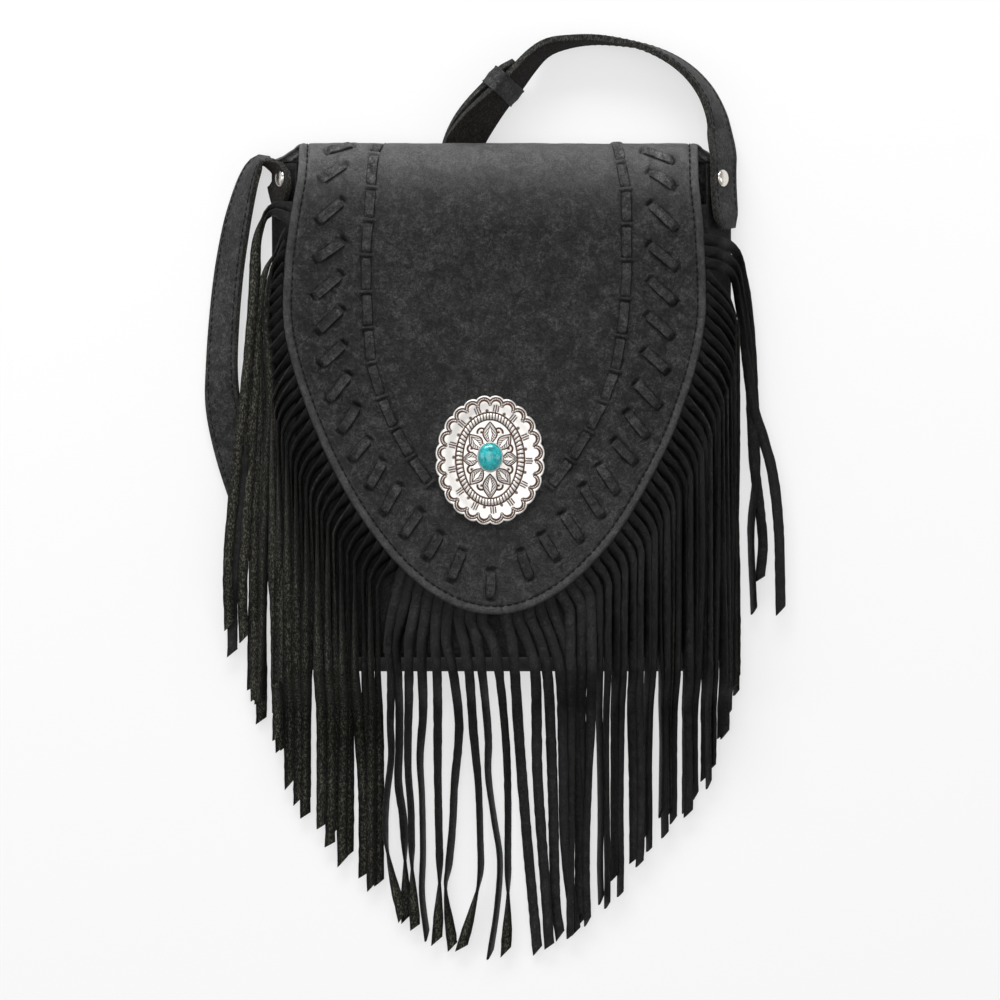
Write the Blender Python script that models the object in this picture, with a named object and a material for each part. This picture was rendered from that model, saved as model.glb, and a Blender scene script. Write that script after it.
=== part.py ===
"""A fringed leather shoulder bag that lies on its back, with its flap closed.

The body is a back panel, a gusset and a front panel. A shield-shaped flap folds over the top and
carries flat laces, a scalloped metal concho with a stone and a fringe of cut strands. The strap is
riveted to the gusset at both sides. Its two parts overlap inside a keeper, where a rivet hidden
under the bag joins them.

Metres. +X is to the right of the bag, +Y is towards its top and +Z is out of its front. The floor
is at z = 0 and the origin is below the middle of the whole bag.
"""

import bmesh
import bpy
from math import atan2, cos, hypot, pi, radians, sin, tan
from mathutils import Matrix, Vector

MM = 0.001

# General
LEATHER = 1.6 * MM
GAP = 0.3 * MM

# Strap
STRAP_WIDTH = 19 * MM
STRAP_THICKNESS = 3.3 * MM

# Body: its outline is wider at the back than at the front
BODY_SHIFT = 3.5 * MM
BACK_HALF_WIDTH = 116 * MM
FRONT_HALF_WIDTH = 103 * MM
BACK_BOTTOM = -87 * MM
FRONT_BOTTOM = -79 * MM
BACK_CORNER = 26 * MM
FRONT_CORNER = 22 * MM
CORNER_STEPS = 5
BACK_LEVEL = STRAP_THICKNESS + 2 * GAP
FRONT_TOP = 23.5 * MM
FRONT_EDGE_Y = 148 * MM
GUSSET_TOP_Y = 169 * MM
GUSSET_SHOULDER_Y = 157 * MM
GUSSET_SHOULDER_DROP = 4.5 * MM
WALL_LEVELS = (163 * MM, GUSSET_SHOULDER_Y, 147 * MM, 136 * MM)

# Top fold, from the flat back to the line that the flap turns about
RISE_START_Y = 125 * MM
RISE = 6.5 * MM
FOLD_START_Y = 171 * MM
FOLD_BULGE_Y = 178.6 * MM
FOLD_HANDLE = 3.0 * MM
FOLD_STEPS = 4
FOLD_NARROWING = 0.5
HINGE_Y = 178.6 * MM
HINGE_Z = 15.5 * MM
HINGE_LEAN = radians(8)

# Flap
STRAND_THICKNESS = 1.2 * MM
FLAP_TOP = 30.8 * MM
FLAP_BEND_Y = 158 * MM
FLAP_HALF_WIDTH = 106 * MM
FLAP_FOLD_HALF_WIDTH = 100 * MM
FLAP_WIDEST_Y = 97 * MM
FLAP_TIP_Y = -58 * MM
FLAP_SIDE_HANDLE = 40 * MM
FLAP_TIP_HANDLE = 60 * MM
FLAP_SIDE_STEPS = 4
FLAP_CURVE_STEPS = 14
LINING = 1.0 * MM
LINING_INSET = 3.5 * MM
LINING_TOP_Y = 154 * MM
LINING_TOP = FLAP_TOP - LEATHER - STRAND_THICKNESS - 2 * GAP

# Fringe
STRAND_WIDTH = 5.4 * MM
STRAND_PITCH = 5.85 * MM
STRAND_LENGTH = 174 * MM
STRAND_SLANT = 3.0 * MM
HEADING_DEPTH = 5.0 * MM
HEADING_INSET = 1.0 * MM
HEADING_END = 1.0 * MM
FRINGE_TOP_LEFT_Y = 147 * MM
FRINGE_TOP_RIGHT_Y = 131 * MM
HANG_SPREAD = 22 * MM
HANG_SPREAD_POWER = 1.2
HANG_BEND_SHARE = 0.55
STRAYS_RIGHT = (21 * MM, 9 * MM, 4 * MM)
HANG_DROP = 9 * MM
HANG_DROP_SHARE = 1.1
STRAND_TAIL = 5 * MM
STRAND_TILT = radians(42)
TILT_END_SHARE = 0.97
STRAND_FLOOR = 0.4 * MM
RAMP_START = 4 * MM
RAMP = 17 * MM
STRAP_COVER = 8 * MM
STRAP_COVER_END_Y = -62 * MM
STRAP_COVER_FADE = 20 * MM

# Laces
LACE_WIDTH = 5.0 * MM
LACE_THICKNESS = 1.1 * MM
SLOT_CLEARANCE = 0.3 * MM
LACE_LINK_WIDTH = 3.6 * MM
EDGE_LACE_INSET = 19 * MM
EDGE_LACE_TOP_Y = 141 * MM
EDGE_LACE_LENGTH = 18 * MM
EDGE_LACE_COUNT = 13
EDGE_LACE_END_SHARE = 0.25
EDGE_LACE_SLANT = radians(43)
TIP_LACE_Y = -42.5 * MM
TIP_LACE_LENGTH = 15.5 * MM
INNER_LACE_COUNT = 9
INNER_LACE_BRIDGE = 2.6 * MM
INNER_LACE_TOP_X = 64.5 * MM
INNER_LACE_TOP_Y = 155 * MM
INNER_LACE_END_X = 30.5 * MM
INNER_LACE_END_Y = 6 * MM
INNER_LACE_BOW = 5 * MM
INNER_LACE_HANDLE = 55 * MM
INNER_LACE_END_SLOPE = 30 * MM

# Concho
CONCHO_X = -2.3 * MM
CONCHO_Y = 19.5 * MM
CONCHO_HALF_WIDTH = 27.2 * MM
CONCHO_HALF_HEIGHT = 32.5 * MM
CONCHO_SCALLOPS = 24
CONCHO_SCALLOP_DEPTH = 1.5 * MM
CONCHO_SCALLOP_ROUND = 0.6
CONCHO_PLATE = 1.2 * MM
CONCHO_DOME = 2.0 * MM
ROPE_HALF_WIDTH = 15.4 * MM
ROPE_HALF_HEIGHT = 21.2 * MM
ROPE_RADIUS = 1.1 * MM
BEZEL_HALF_WIDTH = 6.6 * MM
BEZEL_HALF_HEIGHT = 7.6 * MM
BEZEL_WALL = 0.6 * MM
BEZEL_HEIGHT = 1.8 * MM
STONE_DOME = 2.0 * MM
OVAL_STEPS = 20
DOME_STEPS = 3
POST_RADIUS = 2.0 * MM
POST_HEAD_RADIUS = 4.5 * MM
POST_HEAD = 0.8 * MM
POST_STEPS = 12

# Magnetic snap
SNAP_X = -2.3 * MM
SNAP_Y = -14 * MM
SNAP_RADIUS = 8.5 * MM
SNAP_PLATE = 0.7 * MM
SNAP_STUD_RADIUS = 2.6 * MM
SNAP_STEPS = 16

# Rivets
RIVET_RADIUS = 4.7 * MM
RIVET_CAP = 1.6 * MM
RIVET_SHANK_RADIUS = 1.6 * MM
RIVET_BACK = 0.6 * MM
RIVET_BACK_RADIUS = 3.0 * MM
RIVET_Y = 161.3 * MM
RIVET_STEPS = 12
JOINT_RIVET_X = -19.3 * MM
JOINT_RIVET_Y = 159 * MM
JOINT_RIVET_CAP = 0.5 * MM

# Strap ends and keeper
TAB_END_LEFT_Y = 148.5 * MM
TAB_BEND = 6.5 * MM
TAB_TURN = 125
TURN_STEPS = 5
TAB_POINT = 0.6
TIP_POINT = 0.6
STRAP_FREE = 5 * MM
TAB_DROP = 2.8 * MM
RIVET_DROP = -0.8 * MM
TAB_GAP = 1.2 * MM
LAYER_GAP = 2.2 * MM
KEEPER_STATION = 6
KEEPER_X = 3 * MM
KEEPER_Y = 210 * MM
KEEPER_LIFT = 3.5 * MM
KEEPER_REACH = 36 * MM
KEEPER_FADE = 24 * MM
KEEPER_CLEARANCE = 0.7 * MM
KEEPER_WALL = 1.5 * MM
KEEPER_LENGTH = 11 * MM

# The strap's ways over the floor, seen from above: x and y in millimetres, and lean in degrees
LEFT_WAY = [
    (-133.5, 128, 50), (-136.5, 100, 50), (-137.5, 74, 46), (-136.5, 52, 30), (-133.5, 32, 14),
    (-128, 10, 3), (-120, -11, 0), (-109, -32, 0), (-95, -50, 0), (-77, -62, 0),
    (-58, -64, 0), (-40, -56, 0), (-28, -40, 0), (-22, -18, 0), (-20, 10, 0),
    (-19.5, 60, 0), (-19.5, 120, 0),
]
DOUBLED_WAY = [
    (-19.5, 150, 0), (-19, 165, 0), (-17.5, 177, 8), (-15, 184, 20), (-11.5, 191, 33),
    (-6.5, 198.5, 46), (-0.5, 206, 56), (6.5, 214, 62),
]
SINGLE_WAY = [
    (17, 223, 68), (27, 228, 76), (38, 231, 84), (50, 232, 89), (62, 231, 93),
    (75, 228.5, 98), (88, 223, 104), (98.5, 215.5, 109), (106.5, 206, 114), (111.5, 195.5, 119),
    (114, 185, 125),
]

SIDES = (-1, 1)


def clear_scene():
    for item in list(bpy.data.objects):
        bpy.data.objects.remove(item, do_unlink=True)


def material(name, colour, roughness, metallic=0.0):
    made = bpy.data.materials.new(name)
    made.use_nodes = True
    shader = made.node_tree.nodes["Principled BSDF"]
    shader.inputs["Base Color"].default_value = (*colour, 1.0)
    shader.inputs["Roughness"].default_value = roughness
    shader.inputs["Metallic"].default_value = metallic
    return made


def add_object(name, mesh, look):
    made = bpy.data.objects.new(name, mesh)
    bpy.context.scene.collection.objects.link(made)
    mesh.materials.clear()
    mesh.materials.append(look)
    return made


def mesh_of(name, points, faces):
    """A mesh whose faces are turned outwards."""
    shell = bmesh.new()
    corners = [shell.verts.new(p) for p in points]
    for face in faces:
        shell.faces.new([corners[i] for i in face])
    bmesh.ops.recalc_face_normals(shell, faces=shell.faces)
    mesh = bpy.data.meshes.new(name)
    shell.to_mesh(mesh)
    shell.free()
    return mesh


def smooth(mesh, angle=40):
    mesh.shade_smooth()
    mesh.set_sharp_from_angle(angle=radians(angle))


def add_prism(shell, outline, low, high):
    """A plate between two levels. Its outline is a list of (x, y)."""
    floor = [shell.verts.new((x, y, low)) for x, y in outline]
    roof = [shell.verts.new((x, y, high)) for x, y in outline]
    count = len(outline)
    shell.faces.new(list(reversed(floor)))
    shell.faces.new(roof)
    for i in range(count):
        j = (i + 1) % count
        shell.faces.new((floor[i], floor[j], roof[j], roof[i]))


def finish_shell(shell, name):
    bmesh.ops.recalc_face_normals(shell, faces=shell.faces)
    mesh = bpy.data.meshes.new(name)
    shell.to_mesh(mesh)
    shell.free()
    return mesh


def boolean(target, other, operation, solver="EXACT"):
    """Cuts target by other, or joins other to it. The other object stays as a hidden guide."""
    step = target.modifiers.new(operation.lower(), "BOOLEAN")
    step.operation = operation
    step.solver = solver
    step.object = other
    other.hide_render = True
    other.display_type = "WIRE"


def sweep(name, stations, closed=False):
    """A mesh through cross-sections with the same number of corners, with both ends closed."""
    count = len(stations[0])
    points = [corner for section in stations for corner in section]
    faces = []
    runs = len(stations) if closed else len(stations) - 1
    for k in range(runs):
        a = k * count
        b = ((k + 1) % len(stations)) * count
        for i in range(count):
            j = (i + 1) % count
            faces.append((a + i, a + j, b + j, b + i))
    if not closed:
        faces.append(tuple(reversed(range(count))))
        faces.append(tuple(range(a + count, a + 2 * count)))
    return mesh_of(name, points, faces)


def turned(name, profile, steps, centre, stretch=1.0):
    """A closed turned shape about +Z. The profile runs from the axis at the bottom to the axis
    at the top as (radius, z), and stretch widens it along Y."""
    points, rings = [], []
    for radius, z in profile:
        if radius < 1e-7:
            rings.append([len(points)])
            points.append((centre[0], centre[1], z))
            continue
        ring = []
        for i in range(steps):
            turn = 2 * pi * i / steps
            ring.append(len(points))
            points.append((centre[0] + radius * cos(turn), centre[1] + stretch * radius * sin(turn), z))
        rings.append(ring)
    faces = []
    for low, high in zip(rings, rings[1:]):
        for i in range(steps):
            j = (i + 1) % steps
            if len(low) == 1:
                faces.append((low[0], high[j], high[i]))
            elif len(high) == 1:
                faces.append((low[i], low[j], high[0]))
            else:
                faces.append((low[i], low[j], high[j], high[i]))
    return mesh_of(name, points, faces)


# Outlines


def pocket_side(half_width, bottom, corner, top):
    """The right half of a pocket outline, from its top down and round the corner, about x = 0."""
    levels = (*WALL_LEVELS, RISE_START_Y, (RISE_START_Y + bottom + corner) / 2)
    line = [(half_width, top)] + [(half_width, y) for y in levels if y < top]
    for i in range(CORNER_STEPS + 1):
        turn = i * pi / 2 / CORNER_STEPS
        line.append((half_width - corner * (1 - cos(turn)), bottom + corner * (1 - sin(turn))))
    return line


def pocket_outline(half_width, bottom, corner, top):
    """The whole pocket outline as an open line, from the top right to the top left."""
    right = pocket_side(half_width, bottom, corner, top)
    left = [(-x, y) for x, y in reversed(right)]
    return [(x + BODY_SHIFT, y) for x, y in right + left]


def bezier(a, b, c, d, t):
    s = 1 - t
    return tuple(
        s * s * s * a[k] + 3 * s * s * t * b[k] + 3 * s * t * t * c[k] + t * t * t * d[k]
        for k in range(len(a))
    )


def flap_edge():
    """The flap's right edge from its bend down to its tip, as (x, y)."""
    top = (FLAP_FOLD_HALF_WIDTH, FLAP_BEND_Y)
    widest = (FLAP_HALF_WIDTH, FLAP_WIDEST_Y)
    tip = (0.0, FLAP_TIP_Y)
    line = []
    for i in range(FLAP_SIDE_STEPS):
        t = i / FLAP_SIDE_STEPS
        grow = sin(t * pi / 2)
        line.append((top[0] + (widest[0] - top[0]) * grow, top[1] + (widest[1] - top[1]) * t))
    for i in range(FLAP_CURVE_STEPS + 1):
        t = i / FLAP_CURVE_STEPS
        side_handle = (widest[0], widest[1] - FLAP_SIDE_HANDLE)
        tip_handle = (FLAP_TIP_HANDLE, tip[1])
        line.append(bezier(widest, side_handle, tip_handle, tip, t))
    return line


def along(line, distance):
    """The point and the direction at this distance along a line of (x, y)."""
    for (x0, y0), (x1, y1) in zip(line, line[1:]):
        step = hypot(x1 - x0, y1 - y0)
        if distance <= step or (x1, y1) == line[-1]:
            share = distance / step
            heading = ((x1 - x0) / step, (y1 - y0) / step)
            return (x0 + (x1 - x0) * share, y0 + (y1 - y0) * share), heading
        distance -= step
    return line[-1], (1, 0)


def length_of(line):
    return sum(hypot(b[0] - a[0], b[1] - a[1]) for a, b in zip(line, line[1:]))


def inset_edge(line, inset):
    """The line moved inwards, for a right edge that runs down to the tip."""
    moved = []
    for i, (x, y) in enumerate(line):
        before = line[max(i - 1, 0)]
        after = line[min(i + 1, len(line) - 1)]
        run = (after[0] - before[0], after[1] - before[1])
        size = hypot(*run)
        moved.append((x + run[1] / size * inset, y - run[0] / size * inset))
    moved[-1] = (0.0, line[-1][1] + inset)
    return moved


def whole_outline(right):
    """A closed outline from its right half, which ends on x = 0."""
    return right + [(-x, y) for x, y in reversed(right[:-1])]


# Body


def back_level(y):
    """Height of the back panel's underside, which rises over the doubled strap at the top."""
    share = (y - RISE_START_Y) / (FOLD_START_Y - RISE_START_Y)
    return BACK_LEVEL + RISE * min(max(share, 0.0), 1.0)


def hinge_frame():
    """At the fold line, in (y, z): the way out of the back, the way into the flap and the mitre."""
    back = Vector((-sin(HINGE_LEAN), cos(HINGE_LEAN)))
    flap = Vector((FLAP_BEND_Y - HINGE_Y, FLAP_TOP - HINGE_Z)).normalized()
    middle = (back + flap).normalized()
    mitre = Vector((-middle.y, middle.x))
    return back, flap, middle, mitre * LEATHER / middle.dot(flap)


def build_back_panel(look):
    corner = pocket_side(BACK_HALF_WIDTH, BACK_BOTTOM, BACK_CORNER, FOLD_START_Y)
    rows = [(y, back_level(y), BODY_SHIFT - x, BODY_SHIFT + x) for x, y in reversed(corner)]
    back, _, middle, mitre = hinge_frame()
    end = Vector((HINGE_Y, HINGE_Z)) - middle * GAP / 2
    start = (FOLD_START_Y, back_level(FOLD_START_Y))
    handle = (FOLD_BULGE_Y, start[1])
    turn = tuple(end - back * FOLD_HANDLE)
    left, right = rows[-1][2], rows[-1][3]
    for i in range(1, FOLD_STEPS + 1):
        t = i / FOLD_STEPS
        y, z = bezier(start, handle, turn, tuple(end), t)
        side = FLAP_FOLD_HALF_WIDTH
        narrow = t**FOLD_NARROWING
        rows.append((y, z, left + (-side - left) * narrow, right + (side - right) * narrow))
    sections = []
    for i, (y, z, low_x, high_x) in enumerate(rows):
        before = rows[max(i - 1, 0)]
        after = rows[min(i + 1, len(rows) - 1)]
        run = Vector((after[0] - before[0], after[1] - before[1])).normalized()
        inward = Vector((-run.y, run.x)) * LEATHER
        if i == len(rows) - 1:
            inward = mitre
        sections.append(
            [
                (low_x, y, z),
                (high_x, y, z),
                (high_x, y + inward.x, z + inward.y),
                (low_x, y + inward.x, z + inward.y),
            ]
        )
    mesh = sweep("back_panel", sections)
    smooth(mesh)
    return add_object("back_panel", mesh, look)


def gusset_front_level(y):
    """Height of the gusset's front edge, which drops under the folded flap."""
    share = (y - GUSSET_SHOULDER_Y) / (GUSSET_TOP_Y - GUSSET_SHOULDER_Y)
    return FRONT_TOP - LEATHER - GAP - GUSSET_SHOULDER_DROP * min(max(share, 0.0), 1.0)


def build_gusset(look):
    def lines(wall):
        back = pocket_outline(
            BACK_HALF_WIDTH - wall, BACK_BOTTOM + wall, BACK_CORNER - wall, GUSSET_TOP_Y
        )
        front = pocket_outline(
            FRONT_HALF_WIDTH - wall, FRONT_BOTTOM + wall, FRONT_CORNER - wall, GUSSET_TOP_Y
        )
        back = [(x, y, back_level(y) + LEATHER + GAP) for x, y in back]
        front = [(x, y, gusset_front_level(y)) for x, y in front]
        return back, front

    outer_back, outer_front = lines(0.0)
    inner_back, inner_front = lines(LEATHER)
    sections = [list(corners) for corners in zip(outer_back, outer_front, inner_front, inner_back)]
    mesh = sweep("gusset", sections)
    smooth(mesh)
    return add_object("gusset", mesh, look)


def build_front_panel(look):
    outline = pocket_outline(FRONT_HALF_WIDTH, FRONT_BOTTOM, FRONT_CORNER, FRONT_EDGE_Y)
    shell = bmesh.new()
    add_prism(shell, outline, FRONT_TOP - LEATHER, FRONT_TOP)
    return add_object("front_panel", finish_shell(shell, "front_panel"), look)


# Flap


def build_flap(look, cutters):
    edge = whole_outline(flap_edge())
    _, flap, middle, mitre = hinge_frame()
    bend = tan(atan2(flap.y, -flap.x) / 2) * LEATHER
    shell = bmesh.new()

    def layer(z, inward):
        rim = [shell.verts.new((x, y, z)) for x, y in edge]
        for vert in (rim[0], rim[-1]):
            vert.co.y -= bend if inward else 0.0
        return rim

    top, under = layer(FLAP_TOP, False), layer(FLAP_TOP - LEATHER, True)
    fold = Vector((HINGE_Y, HINGE_Z)) + middle * GAP / 2
    side = FLAP_FOLD_HALF_WIDTH
    fold_top = [shell.verts.new((x, fold.x, fold.y)) for x in (side, -side)]
    fold_under = [shell.verts.new((x, fold.x + mitre.x, fold.y + mitre.y)) for x in (side, -side)]
    shell.faces.new(top)
    shell.faces.new(under)
    for i in range(len(edge) - 1):
        shell.faces.new((top[i], top[i + 1], under[i + 1], under[i]))
    shell.faces.new((top[0], top[-1], fold_top[1], fold_top[0]))
    shell.faces.new((under[0], under[-1], fold_under[1], fold_under[0]))
    shell.faces.new((fold_top[0], fold_top[1], fold_under[1], fold_under[0]))
    shell.faces.new((top[0], fold_top[0], fold_under[0], under[0]))
    shell.faces.new((top[-1], fold_top[1], fold_under[1], under[-1]))
    made = add_object("flap", finish_shell(shell, "flap"), look)
    boolean(made, cutters, "DIFFERENCE")
    return made


def build_lining(look):
    edge = [(x, y) for x, y in flap_edge() if y < LINING_TOP_Y]
    inner = inset_edge(edge, LINING_INSET)
    inner.insert(0, (inner[0][0], LINING_TOP_Y))
    shell = bmesh.new()
    add_prism(shell, whole_outline(inner), LINING_TOP - LINING, LINING_TOP)
    return add_object("flap_lining", finish_shell(shell, "flap_lining"), look)


# Laces


def add_staple(shell, centre, heading, length, width, thickness, low, under):
    """One visible stitch of a lace: a flat run above the flap and a leg at each end."""
    along_x, along_y = heading
    across_x, across_y = -along_y * width / 2, along_x * width / 2
    half = length / 2
    profile = [
        (-half, low),
        (-half, under + thickness),
        (half, under + thickness),
        (half, low),
        (half - thickness, low),
        (half - thickness, under),
        (thickness - half, under),
        (thickness - half, low),
    ]
    rims = []
    for sign in SIDES:
        rim = []
        for d, z in profile:
            x = centre[0] + along_x * d + sign * across_x
            y = centre[1] + along_y * d + sign * across_y
            rim.append(shell.verts.new((x, y, z)))
        rims.append(rim)
    shell.faces.new(rims[0])
    shell.faces.new(rims[1])
    for i in range(len(profile)):
        j = (i + 1) % len(profile)
        shell.faces.new((rims[0][i], rims[0][j], rims[1][j], rims[1][i]))


def add_bar(shell, start, end, width, low, high):
    """A flat bar between two points of the plan."""
    run = Vector((end[0] - start[0], end[1] - start[1]))
    ahead = run.normalized()
    side = Vector((-ahead.y, ahead.x)) * width / 2
    a, b = Vector(start), Vector(end)
    add_prism(shell, [tuple(p) for p in (a - side, b - side, b + side, a + side)], low, high)


def stitch_ends(centre, heading, length):
    half = length / 2 - LACE_THICKNESS / 2
    return [(centre[0] + s * heading[0] * half, centre[1] + s * heading[1] * half) for s in SIDES]


def edge_stitches():
    """The diagonal stitches along the flap's edge, from the right top round to the left top."""
    line = inset_edge(flap_edge(), EDGE_LACE_INSET)
    start = next(i for i, (x, y) in enumerate(line) if y < EDGE_LACE_TOP_Y)
    run = [(line[start][0], EDGE_LACE_TOP_Y)] + line[start:]
    pitch = length_of(run) / (EDGE_LACE_COUNT + EDGE_LACE_END_SHARE)
    right = []
    for i in range(EDGE_LACE_COUNT):
        centre, _ = along(run, i * pitch)
        turn = EDGE_LACE_SLANT + (pi / 2 - EDGE_LACE_SLANT) * (i / EDGE_LACE_COUNT) ** 2
        right.append((centre, (cos(turn), -sin(turn)), EDGE_LACE_LENGTH))
    tip = ((0.0, TIP_LACE_Y), (0.0, -1.0), TIP_LACE_LENGTH)
    left = [((-c[0], c[1]), (h[0], -h[1]), size) for c, h, size in reversed(right)]
    return right + [tip] + left


def inner_stitches(side):
    """The running stitches of one inner lace, from the top down."""
    start, end = (INNER_LACE_TOP_X, INNER_LACE_TOP_Y), (INNER_LACE_END_X, INNER_LACE_END_Y)
    first = (start[0] + INNER_LACE_BOW, start[1] - INNER_LACE_HANDLE)
    last = (end[0] + INNER_LACE_END_SLOPE, end[1] + INNER_LACE_HANDLE)
    line = [bezier(start, first, last, end, i / 24) for i in range(25)]
    pitch = length_of(line) / INNER_LACE_COUNT
    stitches = []
    for i in range(INNER_LACE_COUNT):
        (x, y), (dx, dy) = along(line, (i + 0.5) * pitch)
        length = pitch - INNER_LACE_BRIDGE
        stitches.append(((side * x, y), (side * dx, dy), length))
    return stitches


def build_lace(name, stitches, look):
    """One lace: its visible stitches joined under the flap into a single strip."""
    under = FLAP_TOP + GAP
    low = LINING_TOP + GAP
    shell = bmesh.new()
    for centre, heading, length in stitches:
        bottom = low + LACE_THICKNESS / 2
        add_staple(shell, centre, heading, length, LACE_WIDTH, LACE_THICKNESS, bottom, under)
    made = add_object(name, finish_shell(shell, name), look)
    links = bmesh.new()
    for before, after in zip(stitches, stitches[1:]):
        start = stitch_ends(*before)[1]
        ends = stitch_ends(*after)
        end = ends[0]
        ahead = (Vector(end) - Vector(start)).normalized() * LACE_THICKNESS
        a, b = Vector(start) - ahead, Vector(end) + ahead
        add_bar(links, a, b, LACE_LINK_WIDTH, low, low + LACE_THICKNESS)
    guide = add_object(name + "_links", finish_shell(links, name + "_links"), look)
    boolean(made, guide, "UNION")
    return made


def slot_cutters(stitch_rows, look):
    """The slots of every lace and the hole for the concho's post, as one cutter."""
    shell = bmesh.new()
    low, high = FLAP_TOP - 2 * LEATHER, FLAP_TOP + LEATHER
    for centre, heading, length in stitch_rows:
        for end in stitch_ends(centre, heading, length):
            half = LACE_THICKNESS / 2 + SLOT_CLEARANCE
            start = (end[0] - heading[0] * half, end[1] - heading[1] * half)
            stop = (end[0] + heading[0] * half, end[1] + heading[1] * half)
            add_bar(shell, start, stop, LACE_WIDTH + 2 * SLOT_CLEARANCE, low, high)
    ring = []
    for i in range(POST_STEPS):
        turn = 2 * pi * i / POST_STEPS
        reach = POST_RADIUS + SLOT_CLEARANCE
        ring.append((CONCHO_X + reach * cos(turn), CONCHO_Y + reach * sin(turn)))
    add_prism(shell, ring, low, high)
    return add_object("slots", finish_shell(shell, "slots"), look)


# Fringe


def support_level(x, y, side):
    """Height of what a strand lies on: the front panel, the slope of the gusset or the floor."""
    out = max(abs(x - BODY_SHIFT) - FRONT_HALF_WIDTH, FRONT_BOTTOM - y) - RAMP_START
    floor = 0.0
    if side < 0:
        share = min(max((y - STRAP_COVER_END_Y) / STRAP_COVER_FADE, 0.0), 1.0)
        floor = STRAP_COVER * share
    share = min(max(out / RAMP, 0.0), 1.0)
    return FRONT_TOP + (floor - FRONT_TOP) * share


def strand_route(root, outward, share, stray):
    """The plan of one strand, as (x, y) for a right-hand strand: out of the flap, then down."""
    spread = HANG_SPREAD * (1 - share) ** HANG_SPREAD_POWER + stray
    drop = HANG_DROP + spread * HANG_DROP_SHARE
    hang = (root[0] + spread, root[1] - drop)
    reach = HANG_DROP / 2 + spread / 2
    start = (root[0] + outward[0] * reach, root[1] + outward[1] * reach)
    finish = (hang[0], hang[1] + drop * HANG_BEND_SHARE)
    bend = [bezier(root, start, finish, hang, i / 6) for i in range(7)]
    tip = hang[1] - (STRAND_LENGTH - length_of(bend))
    return bend, tip


def strand_sections(root, outward, side, share, stray):
    """The cross-sections of one strand from its root to its tip."""
    bend, tip = strand_route(root, outward, share, stray)
    x = bend[6][0]
    levels = [FRONT_BOTTOM - RAMP_START, FRONT_BOTTOM - RAMP_START - RAMP]
    if side < 0 and x > FRONT_HALF_WIDTH:
        levels = [STRAP_COVER_END_Y + STRAP_COVER_FADE, STRAP_COVER_END_Y]
    points = [bend[0], bend[1], bend[2], bend[4], bend[6]]
    points += [(x, y) for y in levels if tip + STRAND_TAIL < y < bend[6][1] - STRAND_TAIL / 2]
    points.append((x, tip))
    tilts = (0.0, 0.3, 0.7, 1.0) + (1.0,) * len(levels) + (1.0, 1.0)
    tilt_most = STRAND_TILT * max(0.0, 1 - (share / TILT_END_SHARE) ** 3)
    sections = []
    for i, (x, y) in enumerate(points):
        before, follow = points[max(i - 1, 0)], points[min(i + 1, len(points) - 1)]
        ahead = Vector((follow[0] - before[0], follow[1] - before[1])).normalized()
        if i == 0:
            ahead = Vector(outward)
        tilt = tilt_most * tilts[i]
        half = STRAND_WIDTH / 2
        lift = half * sin(tilt) + STRAND_THICKNESS / 2 * cos(tilt) + STRAND_FLOOR
        level = support_level(side * x, y, side) + lift
        if i == 0:
            level = LINING_TOP + GAP + STRAND_THICKNESS / 2
        across = Vector((-ahead.y * cos(tilt), ahead.x * cos(tilt), sin(tilt))) * half
        forward = Vector((ahead.x, ahead.y, 0.0))
        upward = forward.cross(across).normalized() * STRAND_THICKNESS / 2
        if upward.z < 0:
            upward = -upward
        centre = Vector((x, y, level))
        slant = Vector((0, STRAND_SLANT / 2, 0)) if i == len(points) - 1 else Vector()
        corners = [
            centre - across - upward - slant,
            centre + across - upward + slant,
            centre + across + upward + slant,
            centre - across + upward - slant,
        ]
        sections.append([(side * p.x, p.y, p.z) for p in corners])
    return sections


def uphill(heading, side):
    """The way along the flap's edge towards its top, for a side."""
    return Vector((-side * heading[0], -heading[1]))


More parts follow.
